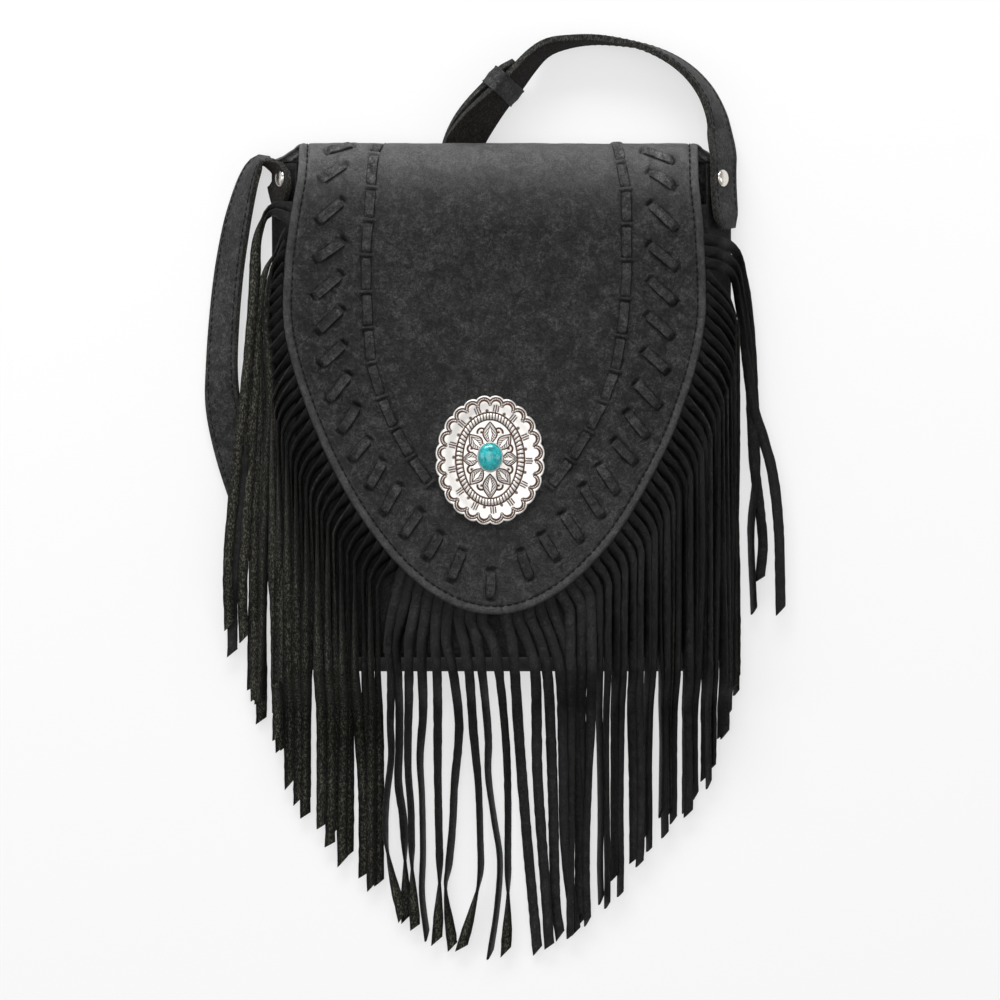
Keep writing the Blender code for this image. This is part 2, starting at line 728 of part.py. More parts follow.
def build_fringe(name, side, top_y, strays, look):
    """A comb of strands cut from one strip, whose heading is held under the flap's edge."""
    line = inset_edge(flap_edge(), HEADING_INSET)
    start = next(i for i, (x, y) in enumerate(line) if y < top_y)
    run = [(line[start - 1][0], top_y)] + line[start:]
    whole = length_of(inset_edge(flap_edge(), HEADING_INSET))
    hidden = whole - length_of(run)
    count = int((length_of(run) - STRAND_PITCH / 2) / STRAND_PITCH)
    shell = bmesh.new()
    low, high = LINING_TOP + GAP, LINING_TOP + GAP + STRAND_THICKNESS

    def column(distance, outer):
        """The four corners of the heading at this distance along the flap's edge."""
        (x, y), (dx, dy) = along(run, distance)
        inner = (x + dy * HEADING_DEPTH, y - dx * HEADING_DEPTH)
        near = [shell.verts.new((side * inner[0], inner[1], z)) for z in (low, high)]
        if outer is None:
            outer = [shell.verts.new((side * x, y, z)) for z in (low, high)]
        return near + list(outer)

    columns, strands = [], []
    for i in range(count):
        distance = (i + 0.5) * STRAND_PITCH
        root, heading = along(run, distance)
        outward = (-heading[1], heading[0])
        share = (hidden + distance) / whole
        stray = strays[i] if i < len(strays) else 0.0
        sections = strand_sections(root, outward, side, share, stray)
        rings = [[shell.verts.new(p) for p in section] for section in sections]
        first, second = rings[0][0:4:3], rings[0][1:3]
        upper = max((first, second), key=lambda pair: Vector(pair[0].co.xy).dot(uphill(heading, side)))
        if i == 0:
            columns.append(column(max(distance - STRAND_WIDTH / 2 - HEADING_END, 0.0), None))
        other = second if upper is first else first
        columns.append(column(distance - STRAND_WIDTH / 2, upper))
        columns.append(column(distance + STRAND_WIDTH / 2, other))
        strands.append(rings)
    faces = shell.faces
    for k, (a, b) in enumerate(zip(columns, columns[1:])):
        faces.new((a[1], b[1], b[3], a[3]))
        faces.new((a[0], a[2], b[2], b[0]))
        faces.new((a[0], b[0], b[1], a[1]))
        if k % 2 == 0:
            faces.new((a[2], a[3], b[3], b[2]))
    for a in (columns[0], columns[-1]):
        faces.new((a[0], a[1], a[3], a[2]))
    for rings in strands:
        for near, far in zip(rings, rings[1:]):
            for i in range(4):
                j = (i + 1) % 4
                faces.new((near[i], near[j], far[j], far[i]))
        faces.new(rings[-1])
    return add_object(name, finish_shell(shell, name), look)


# Concho


def oval(half_width, half_height, turn, grow=0.0):
    return (
        CONCHO_X + (half_width + grow) * cos(turn),
        CONCHO_Y + (half_height + grow) * sin(turn),
    )


def build_concho_plate(look):
    """A scalloped oval plate with a raised rope ring and a low dome inside it."""
    base = FLAP_TOP + GAP
    steps = CONCHO_SCALLOPS * 4
    rings = []

    def ring(half_width, half_height, z, scallop):
        points = []
        for i in range(steps):
            turn = 2 * pi * i / steps
            notch = abs(sin(CONCHO_SCALLOPS * turn / 2)) ** CONCHO_SCALLOP_ROUND - 1.0
            points.append((*oval(half_width, half_height, turn, scallop * notch), z))
        rings.append(points)

    rope_width, rope_height = ROPE_HALF_WIDTH, ROPE_HALF_HEIGHT
    top = base + CONCHO_PLATE
    ring(CONCHO_HALF_WIDTH, CONCHO_HALF_HEIGHT, base, CONCHO_SCALLOP_DEPTH)
    ring(CONCHO_HALF_WIDTH, CONCHO_HALF_HEIGHT, top, CONCHO_SCALLOP_DEPTH)
    ring(rope_width + ROPE_RADIUS, rope_height + ROPE_RADIUS, top + CONCHO_DOME / 2, 0.0)
    ring(rope_width, rope_height, top + CONCHO_DOME / 2 + ROPE_RADIUS, 0.0)
    ring(rope_width - ROPE_RADIUS, rope_height - ROPE_RADIUS, top + CONCHO_DOME / 2, 0.0)
    ring(BEZEL_HALF_WIDTH, BEZEL_HALF_HEIGHT, top + CONCHO_DOME, 0.0)
    points = [p for points in rings for p in points]
    centre = len(points)
    points += [(CONCHO_X, CONCHO_Y, top + CONCHO_DOME), (CONCHO_X, CONCHO_Y, base)]
    faces = []
    for k in range(len(rings) - 1):
        for i in range(steps):
            j = (i + 1) % steps
            a, b = k * steps, (k + 1) * steps
            faces.append((a + i, a + j, b + j, b + i))
    last = (len(rings) - 1) * steps
    for i in range(steps):
        j = (i + 1) % steps
        faces.append((last + i, last + j, centre))
        faces.append((j, i, centre + 1))
    mesh = mesh_of("concho_plate", points, faces)
    smooth(mesh)
    return add_object("concho_plate", mesh, look)


def build_stone_and_bezel(metal, stone):
    base = FLAP_TOP + GAP + CONCHO_PLATE + CONCHO_DOME + GAP
    stretch = BEZEL_HALF_HEIGHT / BEZEL_HALF_WIDTH
    centre = (CONCHO_X, CONCHO_Y)
    inner = BEZEL_HALF_WIDTH - BEZEL_WALL
    floor = base + BEZEL_WALL
    cup = [
        (0.0, base),
        (BEZEL_HALF_WIDTH, base),
        (BEZEL_HALF_WIDTH, base + BEZEL_HEIGHT),
        (inner, base + BEZEL_HEIGHT),
        (inner, floor),
        (0.0, floor),
    ]
    add_object("concho_bezel", turned("concho_bezel", cup, OVAL_STEPS, centre, stretch), metal)
    rim = inner - GAP
    side = base + BEZEL_HEIGHT
    dome = [(0.0, floor + GAP), (rim, floor + GAP), (rim, side)]
    for i in range(1, DOME_STEPS):
        turn = i * pi / 2 / DOME_STEPS
        dome.append((rim * cos(turn), side + STONE_DOME * sin(turn)))
    dome.append((0.0, side + STONE_DOME))
    mesh = turned("turquoise_stone", dome, OVAL_STEPS, centre, stretch)
    smooth(mesh)
    add_object("turquoise_stone", mesh, stone)


def build_post(look):
    """The screw post through the flap that holds the concho, with its head under the leather."""
    head = LINING_TOP + GAP
    profile = [
        (0.0, head),
        (POST_HEAD_RADIUS, head),
        (POST_HEAD_RADIUS, head + POST_HEAD),
        (POST_RADIUS, head + POST_HEAD),
        (POST_RADIUS, FLAP_TOP),
        (0.0, FLAP_TOP),
    ]
    mesh = turned("concho_post", profile, POST_STEPS, (CONCHO_X, CONCHO_Y))
    return add_object("concho_post", mesh, look)


def build_snap(look):
    centre = (SNAP_X, SNAP_Y)
    plate = LINING_TOP - LINING - GAP
    rim = FRONT_TOP + GAP
    stud = [
        (0.0, rim + SNAP_PLATE),
        (SNAP_STUD_RADIUS, rim + SNAP_PLATE),
        (SNAP_STUD_RADIUS, plate - SNAP_PLATE),
        (SNAP_RADIUS, plate - SNAP_PLATE),
        (SNAP_RADIUS, plate),
        (0.0, plate),
    ]
    add_object("snap_stud", turned("snap_stud", stud, SNAP_STEPS, centre), look)
    hole = SNAP_STUD_RADIUS + 2 * GAP
    floor = rim + SNAP_PLATE - GAP
    socket = [
        (0.0, rim),
        (SNAP_RADIUS, rim),
        (SNAP_RADIUS, plate - SNAP_PLATE - GAP),
        (hole, plate - SNAP_PLATE - GAP),
        (hole, floor),
        (0.0, floor),
    ]
    add_object("snap_socket", turned("snap_socket", socket, SNAP_STEPS, centre), look)


# Strap


def gusset_seat(side, y, drop):
    """The seat of the strap on the gusset's outer face, its outward way and its upward way."""
    y = min(y, GUSSET_TOP_Y)
    back = Vector((side * BACK_HALF_WIDTH + BODY_SHIFT, y, back_level(y)))
    back.z += LEATHER + GAP
    front = Vector((side * FRONT_HALF_WIDTH + BODY_SHIFT, y, gusset_front_level(y)))
    rise = (front - back).normalized()
    outward = Vector((side * rise.z, 0.0, -side * rise.x))
    return (back + front) / 2 - rise * drop, outward, rise


def ribbon(name, stations, look):
    """A flat strap through stations of (centre, way of its width, share of its full width)."""
    sections = []
    for i, (centre, across, share) in enumerate(stations):
        before = stations[max(i - 1, 0)][0]
        after = stations[min(i + 1, len(stations) - 1)][0]
        ahead = (after - before).normalized()
        across = (across - ahead * across.dot(ahead)).normalized()
        face = ahead.cross(across) * STRAP_THICKNESS / 2
        across = across * STRAP_WIDTH / 2 * share
        sections.append(
            [
                tuple(centre - across - face),
                tuple(centre + across - face),
                tuple(centre + across + face),
                tuple(centre - across + face),
            ]
        )
    mesh = sweep(name, sections)
    smooth(mesh, 60)
    return add_object(name, mesh, look)


def plan_stations(route, lift=None):
    """Stations from a plan of (x, y, lean in degrees) in millimetres. At lean 0 the strap lies
    flat and at 90 it stands on edge, with its width turned up from the left of the way ahead."""
    stations = []
    for i, (x, y, lean) in enumerate(route):
        before, after = route[max(i - 1, 0)], route[min(i + 1, len(route) - 1)]
        ahead = Vector((after[0] - before[0], after[1] - before[1], 0.0)).normalized()
        left = Vector((-ahead.y, ahead.x, 0.0))
        turn = radians(lean)
        level = STRAP_WIDTH / 2 * sin(turn) + STRAP_THICKNESS / 2 * abs(cos(turn))
        off_keeper = hypot(x * MM - KEEPER_X, y * MM - KEEPER_Y)
        level += KEEPER_LIFT * min(max((KEEPER_REACH - off_keeper) / KEEPER_FADE, 0.0), 1.0)
        across = left * cos(turn) + Vector((0.0, 0.0, sin(turn)))
        centre = Vector((x * MM, y * MM, level))
        if lift and lift[i]:
            centre += ahead.cross(across) * lift[i]
        stations.append((centre, across, 1.0))
    return stations


def taper_ends(stations, first, last):
    (start, across, _), (end, end_across, _) = stations[0], stations[-1]
    stations[0] = (start, across, first)
    stations[-1] = (end, end_across, last)
    return stations


def build_straps(look):
    stand_off = TAB_GAP + STRAP_THICKNESS / 2

    def tab_station(side, y, far=0.0):
        seat, outward, rise = gusset_seat(side, y, TAB_DROP)
        point = seat + outward * (stand_off + far)
        return (Vector((point.x, y, point.z)), rise, 1.0)

    tab = [tab_station(-1, y) for y in (TAB_END_LEFT_Y, GUSSET_SHOULDER_Y, WALL_LEVELS[0])]
    for i in range(TURN_STEPS):
        turn = radians(TAB_TURN) * i / (TURN_STEPS - 1)
        y = RIVET_Y + RIVET_RADIUS + TAB_BEND * sin(turn)
        tab.append(tab_station(-1, y, TAB_BEND * (1 - cos(turn))))
    end, rise_left, _ = tab[-1]
    run = plan_stations(LEFT_WAY + DOUBLED_WAY)
    down = run[0][0]
    for share in (0.3, 0.65):
        across = rise_left.lerp(run[0][1], share)
        tab.append((end.lerp(down, share), across, 1.0))
    ribbon_stations = taper_ends(tab + run, TAB_POINT, TIP_POINT)
    long_strap = ribbon("strap_long", ribbon_stations, look)

    flat, apart = STRAP_THICKNESS + GAP, STRAP_THICKNESS + LAYER_GAP
    lift = [flat, flat] + [apart] * (len(DOUBLED_WAY) - 2) + [apart / 2]
    lift += [0.0] * (len(SINGLE_WAY) - 1)
    run = plan_stations(DOUBLED_WAY + SINGLE_WAY, lift)
    levels = (GUSSET_TOP_Y + STRAP_FREE, GUSSET_TOP_Y, *WALL_LEVELS)
    tab = [tab_station(1, y) for y in levels]
    short_strap = ribbon("strap_short", taper_ends(run + tab, 1.0, TAB_POINT), look)
    return long_strap, short_strap, run


def oriented(mesh, origin, upward):
    """Turns a mesh made about +Z so that +Z lies along upward."""
    turn = Vector((0, 0, 1)).rotation_difference(upward).to_matrix().to_4x4()
    mesh.transform(Matrix.Translation(origin) @ turn)
    return mesh


def build_rivet(name, side, look, straps, gusset):
    """A rivet through a strap end and the gusset, its cap outside and its back cap inside."""
    seat, outward, _ = gusset_seat(side, RIVET_Y, RIVET_DROP)
    outside = TAB_GAP + 4 * GAP + STRAP_THICKNESS
    inside = -LEATHER - 3 * GAP
    cap = [(0.0, inside - RIVET_BACK), (RIVET_SHANK_RADIUS, inside - RIVET_BACK)]
    cap += [(RIVET_SHANK_RADIUS, outside), (RIVET_RADIUS, outside)]
    for i in range(1, DOME_STEPS):
        turn = i * pi / 2 / DOME_STEPS
        cap.append((RIVET_RADIUS * cos(turn), outside + RIVET_CAP * sin(turn)))
    cap.append((0.0, outside + RIVET_CAP))
    mesh = oriented(turned(name, cap, RIVET_STEPS, (0, 0)), seat, outward)
    smooth(mesh)
    add_object(name, mesh, look)
    hole = RIVET_SHANK_RADIUS + GAP
    back = [
        (0.0, inside - 2 * RIVET_BACK - GAP),
        (RIVET_BACK_RADIUS, inside - 2 * RIVET_BACK - GAP),
        (RIVET_BACK_RADIUS, inside),
        (hole, inside),
        (hole, inside - RIVET_BACK - GAP),
        (0.0, inside - RIVET_BACK - GAP),
    ]
    mesh = oriented(turned(name + "_back", back, RIVET_STEPS, (0, 0)), seat, outward)
    add_object(name + "_back", mesh, look)
    drill = [(0.0, -4 * LEATHER), (hole, -4 * LEATHER), (hole, 2 * outside), (0.0, 2 * outside)]
    cutter = oriented(turned(name + "_hole", drill, RIVET_STEPS, (0, 0)), seat, outward)
    guide = add_object(name + "_hole", cutter, look)
    boolean(straps[side], guide, "DIFFERENCE")
    boolean(gusset, guide, "DIFFERENCE", "MANIFOLD")


def build_keeper(look, stations):
    """A short leather loop round both layers of the strap."""
    near, far = stations[KEEPER_STATION], stations[KEEPER_STATION + 1]
    ahead = (far[0] - near[0]).normalized()
    across = (near[1] + far[1]).normalized()
    across = (across - ahead * across.dot(ahead)).normalized()
    face = ahead.cross(across)
    centre = (near[0] + far[0]) / 2 - face * (STRAP_THICKNESS + LAYER_GAP) / 2
    half_width = STRAP_WIDTH / 2 + KEEPER_CLEARANCE
    half_depth = STRAP_THICKNESS + LAYER_GAP / 2 + KEEPER_CLEARANCE
    rings = []
    for along_share, wall in ((-1, 0.0), (-1, KEEPER_WALL), (1, KEEPER_WALL), (1, 0.0)):
        middle = centre + ahead * along_share * KEEPER_LENGTH / 2
        wide, deep = across * (half_width + wall), face * (half_depth + wall)
        rings.append([middle - wide - deep, middle + wide - deep, middle + wide + deep])
        rings[-1].append(middle - wide + deep)
    rings = [[tuple(p) for p in ring] for ring in rings]
    return add_object("strap_keeper", sweep("strap_keeper", rings, closed=True), look)


def build_joint_rivet(look, long_strap, short_strap):
    """The rivet that fastens the two layers of the strap, hidden under the top of the bag."""
    x, y = JOINT_RIVET_X, JOINT_RIVET_Y
    top = 2 * STRAP_THICKNESS + 3 * GAP
    profile = [
        (0.0, GAP),
        (RIVET_SHANK_RADIUS, GAP),
        (RIVET_SHANK_RADIUS, top),
        (RIVET_RADIUS, top),
        (RIVET_RADIUS, top + JOINT_RIVET_CAP),
        (0.0, top + JOINT_RIVET_CAP),
    ]
    add_object("strap_rivet", turned("strap_rivet", profile, RIVET_STEPS, (x, y)), look)
    reach = RIVET_SHANK_RADIUS + GAP
    drill = [(0.0, -GAP), (reach, -GAP), (reach, 2 * top), (0.0, 2 * top)]
    guide = add_object("strap_hole", turned("strap_hole", drill, RIVET_STEPS, (x, y)), look)
    boolean(long_strap, guide, "DIFFERENCE")
    boolean(short_strap, guide, "DIFFERENCE")


def build_bag():
    clear_scene()
    leather = material("black_leather", (0.035, 0.034, 0.035), 0.55)
    suede = material("black_suede", (0.02, 0.02, 0.018), 0.9)
    cloth = material("lining_cloth", (0.03, 0.03, 0.032), 0.9)
    nickel = material("nickel", (0.7, 0.68, 0.62), 0.25, 1.0)
    silver = material("antiqued_silver", (0.72, 0.7, 0.66), 0.35, 1.0)
    turquoise = material("turquoise", (0.02, 0.45, 0.5), 0.3)

    build_back_panel(leather)
    gusset = build_gusset(leather)
    build_front_panel(leather)
    edge = edge_stitches()
    inner = {side: inner_stitches(side) for side in SIDES}
    cutters = slot_cutters(edge + inner[-1] + inner[1], leather)
    build_flap(leather, cutters)
    build_lining(cloth)
    build_lace("edge_lace", edge, leather)
    build_lace("inner_lace_left", inner[-1], leather)
    build_lace("inner_lace_right", inner[1], leather)
    build_fringe("fringe_left", -1, FRINGE_TOP_LEFT_Y, (), suede)
    build_fringe("fringe_right", 1, FRINGE_TOP_RIGHT_Y, STRAYS_RIGHT, suede)
    build_concho_plate(silver)
    build_stone_and_bezel(silver, turquoise)
    build_post(nickel)
    build_snap(nickel)
    long_strap, short_strap, stations = build_straps(leather)
    straps = {-1: long_strap, 1: short_strap}
    build_rivet("rivet_left", -1, nickel, straps, gusset)
    build_rivet("rivet_right", 1, nickel, straps, gusset)
    build_keeper(leather, stations)
    build_joint_rivet(nickel, long_strap, short_strap)


build_bag()
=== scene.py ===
"""The looks of a fringed leather shoulder bag that lies on its back."""

from math import atan2, cos, hypot, pi, radians, sin

import bmesh
import bpy
import numpy as np
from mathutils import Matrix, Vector
from mathutils.geometry import delaunay_2d_cdt


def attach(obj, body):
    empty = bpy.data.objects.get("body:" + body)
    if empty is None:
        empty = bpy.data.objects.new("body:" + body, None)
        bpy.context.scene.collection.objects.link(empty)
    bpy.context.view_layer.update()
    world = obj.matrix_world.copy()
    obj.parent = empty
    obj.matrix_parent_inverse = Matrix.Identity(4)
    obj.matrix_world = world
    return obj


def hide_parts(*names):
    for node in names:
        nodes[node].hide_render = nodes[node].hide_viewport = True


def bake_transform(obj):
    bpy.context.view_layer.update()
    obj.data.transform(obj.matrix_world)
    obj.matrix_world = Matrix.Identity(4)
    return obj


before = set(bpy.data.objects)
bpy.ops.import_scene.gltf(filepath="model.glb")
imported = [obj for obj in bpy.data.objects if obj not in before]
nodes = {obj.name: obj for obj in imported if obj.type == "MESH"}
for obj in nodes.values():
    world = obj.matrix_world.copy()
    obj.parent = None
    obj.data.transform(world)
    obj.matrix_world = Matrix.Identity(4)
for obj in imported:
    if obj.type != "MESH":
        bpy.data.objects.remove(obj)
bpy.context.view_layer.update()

MM = 0.001
MM_A_PIXEL = 0.5
PHOTO_CENTRE = (494.5, 499)


def spot(px, py):
    """A place of the photograph on the flap's level, in millimetres."""
    return np.array([(px - PHOTO_CENTRE[0]) * MM_A_PIXEL, (PHOTO_CENTRE[1] - py) * MM_A_PIXEL])


def unit(vector):
    return vector / np.linalg.norm(vector)


def share_of(value, low, high):
    """How far value is on its way from low to high, from 0 to 1."""
    return np.clip((value - low) / (high - low), 0, 1)


def step_up(value, low, high):
    """The same share, with a soft start and a soft end."""
    t = share_of(value, low, high)
    return t * t * (3 - 2 * t)


# Meshes


def mesh_object(name, points, faces, looks, smooth=True, indices=None):
    """A mesh object from points in millimetres."""
    mesh = bpy.data.meshes.new(name)
    mesh.from_pydata([tuple(float(v) * MM for v in p) for p in points], [], [tuple(f) for f in faces])
    made = bpy.data.objects.new(name, mesh)
    bpy.context.scene.collection.objects.link(made)
    for look in looks if isinstance(looks, (list, tuple)) else [looks]:
        mesh.materials.append(look)
    if indices is not None:
        mesh.polygons.foreach_set("material_index", indices)
    if smooth:
        mesh.shade_smooth()
        mesh.set_sharp_from_angle(angle=radians(50))
    return made


def thicken(made, amount, upward):
    """Gives a sheet its thickness: below its face, or above it."""
    normals = np.empty(len(made.data.polygons) * 3)
    made.data.polygons.foreach_get("normal", normals)
    faces_up = normals[2::3].sum() > 0
    thick = made.modifiers.new("thickness", "SOLIDIFY")
    thick.thickness = amount * MM
    thick.offset = 1 if faces_up == upward else -1


def outward(made):
    """Turns the faces of closed meshes outward."""
    shell = bmesh.new()
    shell.from_mesh(made.data)
    bmesh.ops.recalc_face_normals(shell, faces=shell.faces)
    shell.to_mesh(made.data)
    shell.free()
    return made


def mark(made, name, values):
    """Gives the piece a vertex attribute, which its material reads."""
    layer = made.data.attributes.new(name, "FLOAT", "POINT")
    layer.data.foreach_set("value", np.asarray(values, np.float32))


class Pile:
    """Gathers many small meshes into one object. Its tones make parts of it lighter or darker."""

    def __init__(self):
        self.points, self.faces, self.looks, self.tones = [], [], [], []

    def add(self, points, faces, look=0, tone=0.0):
        base = len(self.points)
        self.tones.extend([tone] * len(points) if isinstance(tone, (int, float)) else tone)
        self.points.extend(points)
        self.faces.extend([[base + i for i in face] for face in faces])
        self.looks.extend([look] * len(faces) if isinstance(look, int) else look)

    def make(self, name, looks):
        made = outward(mesh_object(name, self.points, self.faces, looks, indices=self.looks))
        if any(self.tones):
            mark(made, "tone", self.tones)
        return made


def grid_faces(rows, columns, closed=False):
    """Faces between rows of points; closed joins the last column to the first."""
    faces = []
    for i in range(rows - 1):
        for j in range(columns if closed else columns - 1):
            k = (j + 1) % columns
            faces.append((i * columns + j, i * columns + k, (i + 1) * columns + k, (i + 1) * columns + j))
    return faces


def tube_faces(rows, columns):
    """Faces of a closed tube with both ends shut."""
    faces = grid_faces(rows, columns, True)
    faces.append(tuple(range(columns)))
    faces.append(tuple(range((rows - 1) * columns, rows * columns)))
    return faces


def bezier(a, b, c, d, t):
    t = np.asarray(t, float)[..., None]
    s = 1 - t
    a, b, c, d = (np.asarray(p, float) for p in (a, b, c, d))
    return s**3 * a + 3 * s * s * t * b + 3 * s * t * t * c + t**3 * d


def run_of(line):
    """The distance of each point from the start, along the line."""
    return np.concatenate([[0], np.cumsum(np.linalg.norm(np.diff(line, axis=0), axis=1))])


def units(vectors):
    return vectors / np.linalg.norm(vectors, axis=1)[:, None]


def ways_of(line):
    """The direction of the line at each of its points."""
    return units(np.gradient(line, axis=0))


def right_of(ways):
    return np.stack([ways[:, 1], -ways[:, 0]], 1)


def distance_to(line, points):
    """The distance of each point from the nearest point of the line."""
    out = np.empty(len(points))
    for k in range(0, len(points), 2000):
        part = points[k:k + 2000]
        out[k:k + 2000] = np.sqrt(((part[:, None] - line[None]) ** 2).sum(2)).min(1)
    return out


def fill(points, count):
    """A sheet of triangles over the points, inside the outline that the first ones make."""
    places, _, faces, _, _, _ = delaunay_2d_cdt(
        [Vector(p) for p in points], [], [list(range(count))], 1, 0.02)
    return np.array([tuple(p) for p in places]), faces


def resample(line, step):
    """The line at even steps."""
    line = np.asarray(line, float)
    run = run_of(line)
    count = max(2, int(round(run[-1] / step)) + 1)
    at = np.linspace(0, run[-1], count)
    return np.stack([np.interp(at, run, line[:, k]) for k in range(line.shape[1])], 1)


def smooth_line(points, step):
    """A smooth curve through points, at even steps."""
    points = np.asarray(points, float)
    ends = [2 * points[0] - points[1], *points, 2 * points[-1] - points[-2]]
    out = []
    for p0, p1, p2, p3 in zip(ends, ends[1:], ends[2:], ends[3:]):
        for t in np.linspace(0, 1, 12, endpoint=False):
            out.append(0.5 * (2 * p1 + (p2 - p0) * t + (2 * p0 - 5 * p1 + 4 * p2 - p3) * t * t
                              + (3 * p1 - p0 - 3 * p2 + p3) * t**3))
    out.append(points[-1])
    return resample(out, step)


def waves(x, y, size, seed):
    """Smooth pseudo-random waves of about this size, between -1 and 1."""
    rng = np.random.RandomState(seed)
    total, weight = np.zeros(np.shape(x)), 0.0
    for k in range(12):
        turn, phase = rng.uniform(0, pi), rng.uniform(0, 2 * pi)
        rate = 2 * pi / size * 1.6 ** (k // 4) * rng.uniform(0.7, 1.3)
        amount = 0.6 ** (k // 4)
        total = total + amount * np.sin((np.cos(turn) * x + np.sin(turn) * y) * rate + phase)
        weight += amount
    return total / weight * 1.8


# Materials


class Look:
    """A procedural material built from nodes in object space."""

    def __init__(self, name, **sockets):
        self.material = bpy.data.materials.new(name)
        self.material.use_nodes = True
        self.tree = self.material.node_tree
        self.shader = self.tree.nodes["Principled BSDF"]
        self.place = self.node("ShaderNodeTexCoord").outputs["Object"]
        for key, value in sockets.items():
            self.set(key.replace("_", " "), value)

    def node(self, kind):
        return self.tree.nodes.new(kind)

    def link(self, value, socket):
        if isinstance(value, bpy.types.NodeSocket):
            self.tree.links.new(value, socket)
        elif isinstance(value, (tuple, list)) and len(value) == 3 and socket.type == "RGBA":
            socket.default_value = (*value, 1.0)
        else:
            socket.default_value = value

    def set(self, name, value):
        self.link(value, self.shader.inputs[name])

    def stretched(self, scale):
        """Object coordinates for a texture that is drawn out along an axis."""
        mapping = self.node("ShaderNodeMapping")
        self.link(self.place, mapping.inputs["Vector"])
        mapping.inputs["Scale"].default_value = scale
        return mapping.outputs["Vector"]

    def noise(self, scale, detail=4.0, rough=0.55, twist=0.0, place=None):
        made = self.node("ShaderNodeTexNoise")
        self.link(place or self.place, made.inputs["Vector"])
        made.inputs["Scale"].default_value = scale
        made.inputs["Detail"].default_value = detail
        made.inputs["Roughness"].default_value = rough
        made.inputs["Distortion"].default_value = twist
        return made.outputs["Fac"]

    def cells(self, scale, place=None):
        made = self.node("ShaderNodeTexVoronoi")
        made.feature = "DISTANCE_TO_EDGE"
        self.link(place or self.place, made.inputs["Vector"])
        made.inputs["Scale"].default_value = scale
        return made.outputs["Distance"]

    def ramp(self, value, *stops):
        """Shades or colours at places between 0 and 1."""
        made = self.node("ShaderNodeValToRGB")
        self.link(value, made.inputs["Fac"])
        steps = made.color_ramp.elements
        while len(steps) < len(stops):
            steps.new(0.5)
        for step, (place, shade) in zip(steps, stops):
            step.position = place
            shade = (shade,) * 3 if isinstance(shade, (int, float)) else shade
            step.color = (*shade, 1.0)
        return made.outputs["Color"]

    def math(self, operation, a, b=0.0, clamp=False):
        made = self.node("ShaderNodeMath")
        made.operation = operation
        made.use_clamp = clamp
        self.link(a, made.inputs[0])
        self.link(b, made.inputs[1])
        return made.outputs[0]

    def times(self, a, b):
        return self.math("MULTIPLY", a, b)

    def mix(self, share, a, b, kind="MIX"):
        made = self.node("ShaderNodeMix")
        made.data_type = "RGBA"
        made.blend_type = kind
        self.link(share, made.inputs[0])
        self.link(a, made.inputs[6])
        self.link(b, made.inputs[7])
        return made.outputs[2]

    def shaded(self, colour, value, *stops):
        """The colour times a ramp of the value."""
        return self.mix(1.0, colour, self.ramp(value, *stops), "MULTIPLY")

    def bump(self, height, strength, distance, normal=None):
        made = self.node("ShaderNodeBump")
        self.link(height, made.inputs["Height"])
        made.inputs["Strength"].default_value = strength
        made.inputs["Distance"].default_value = distance
        if normal is not None:
            self.link(normal, made.inputs["Normal"])
        return made.outputs["Normal"]

    def toned(self, colour):
        """The colour, made lighter or darker by the vertex attribute tone."""
        share = self.math("ADD", self.attribute("tone"), 1.0)
        made = self.node("ShaderNodeVectorMath")
        made.operation = "SCALE"
        self.link(colour, made.inputs[0])
        self.link(share, made.inputs["Scale"])
        return made.outputs[0]

    def attribute(self, name):
        made = self.node("ShaderNodeAttribute")
        made.attribute_name = name
        return made.outputs["Fac"]


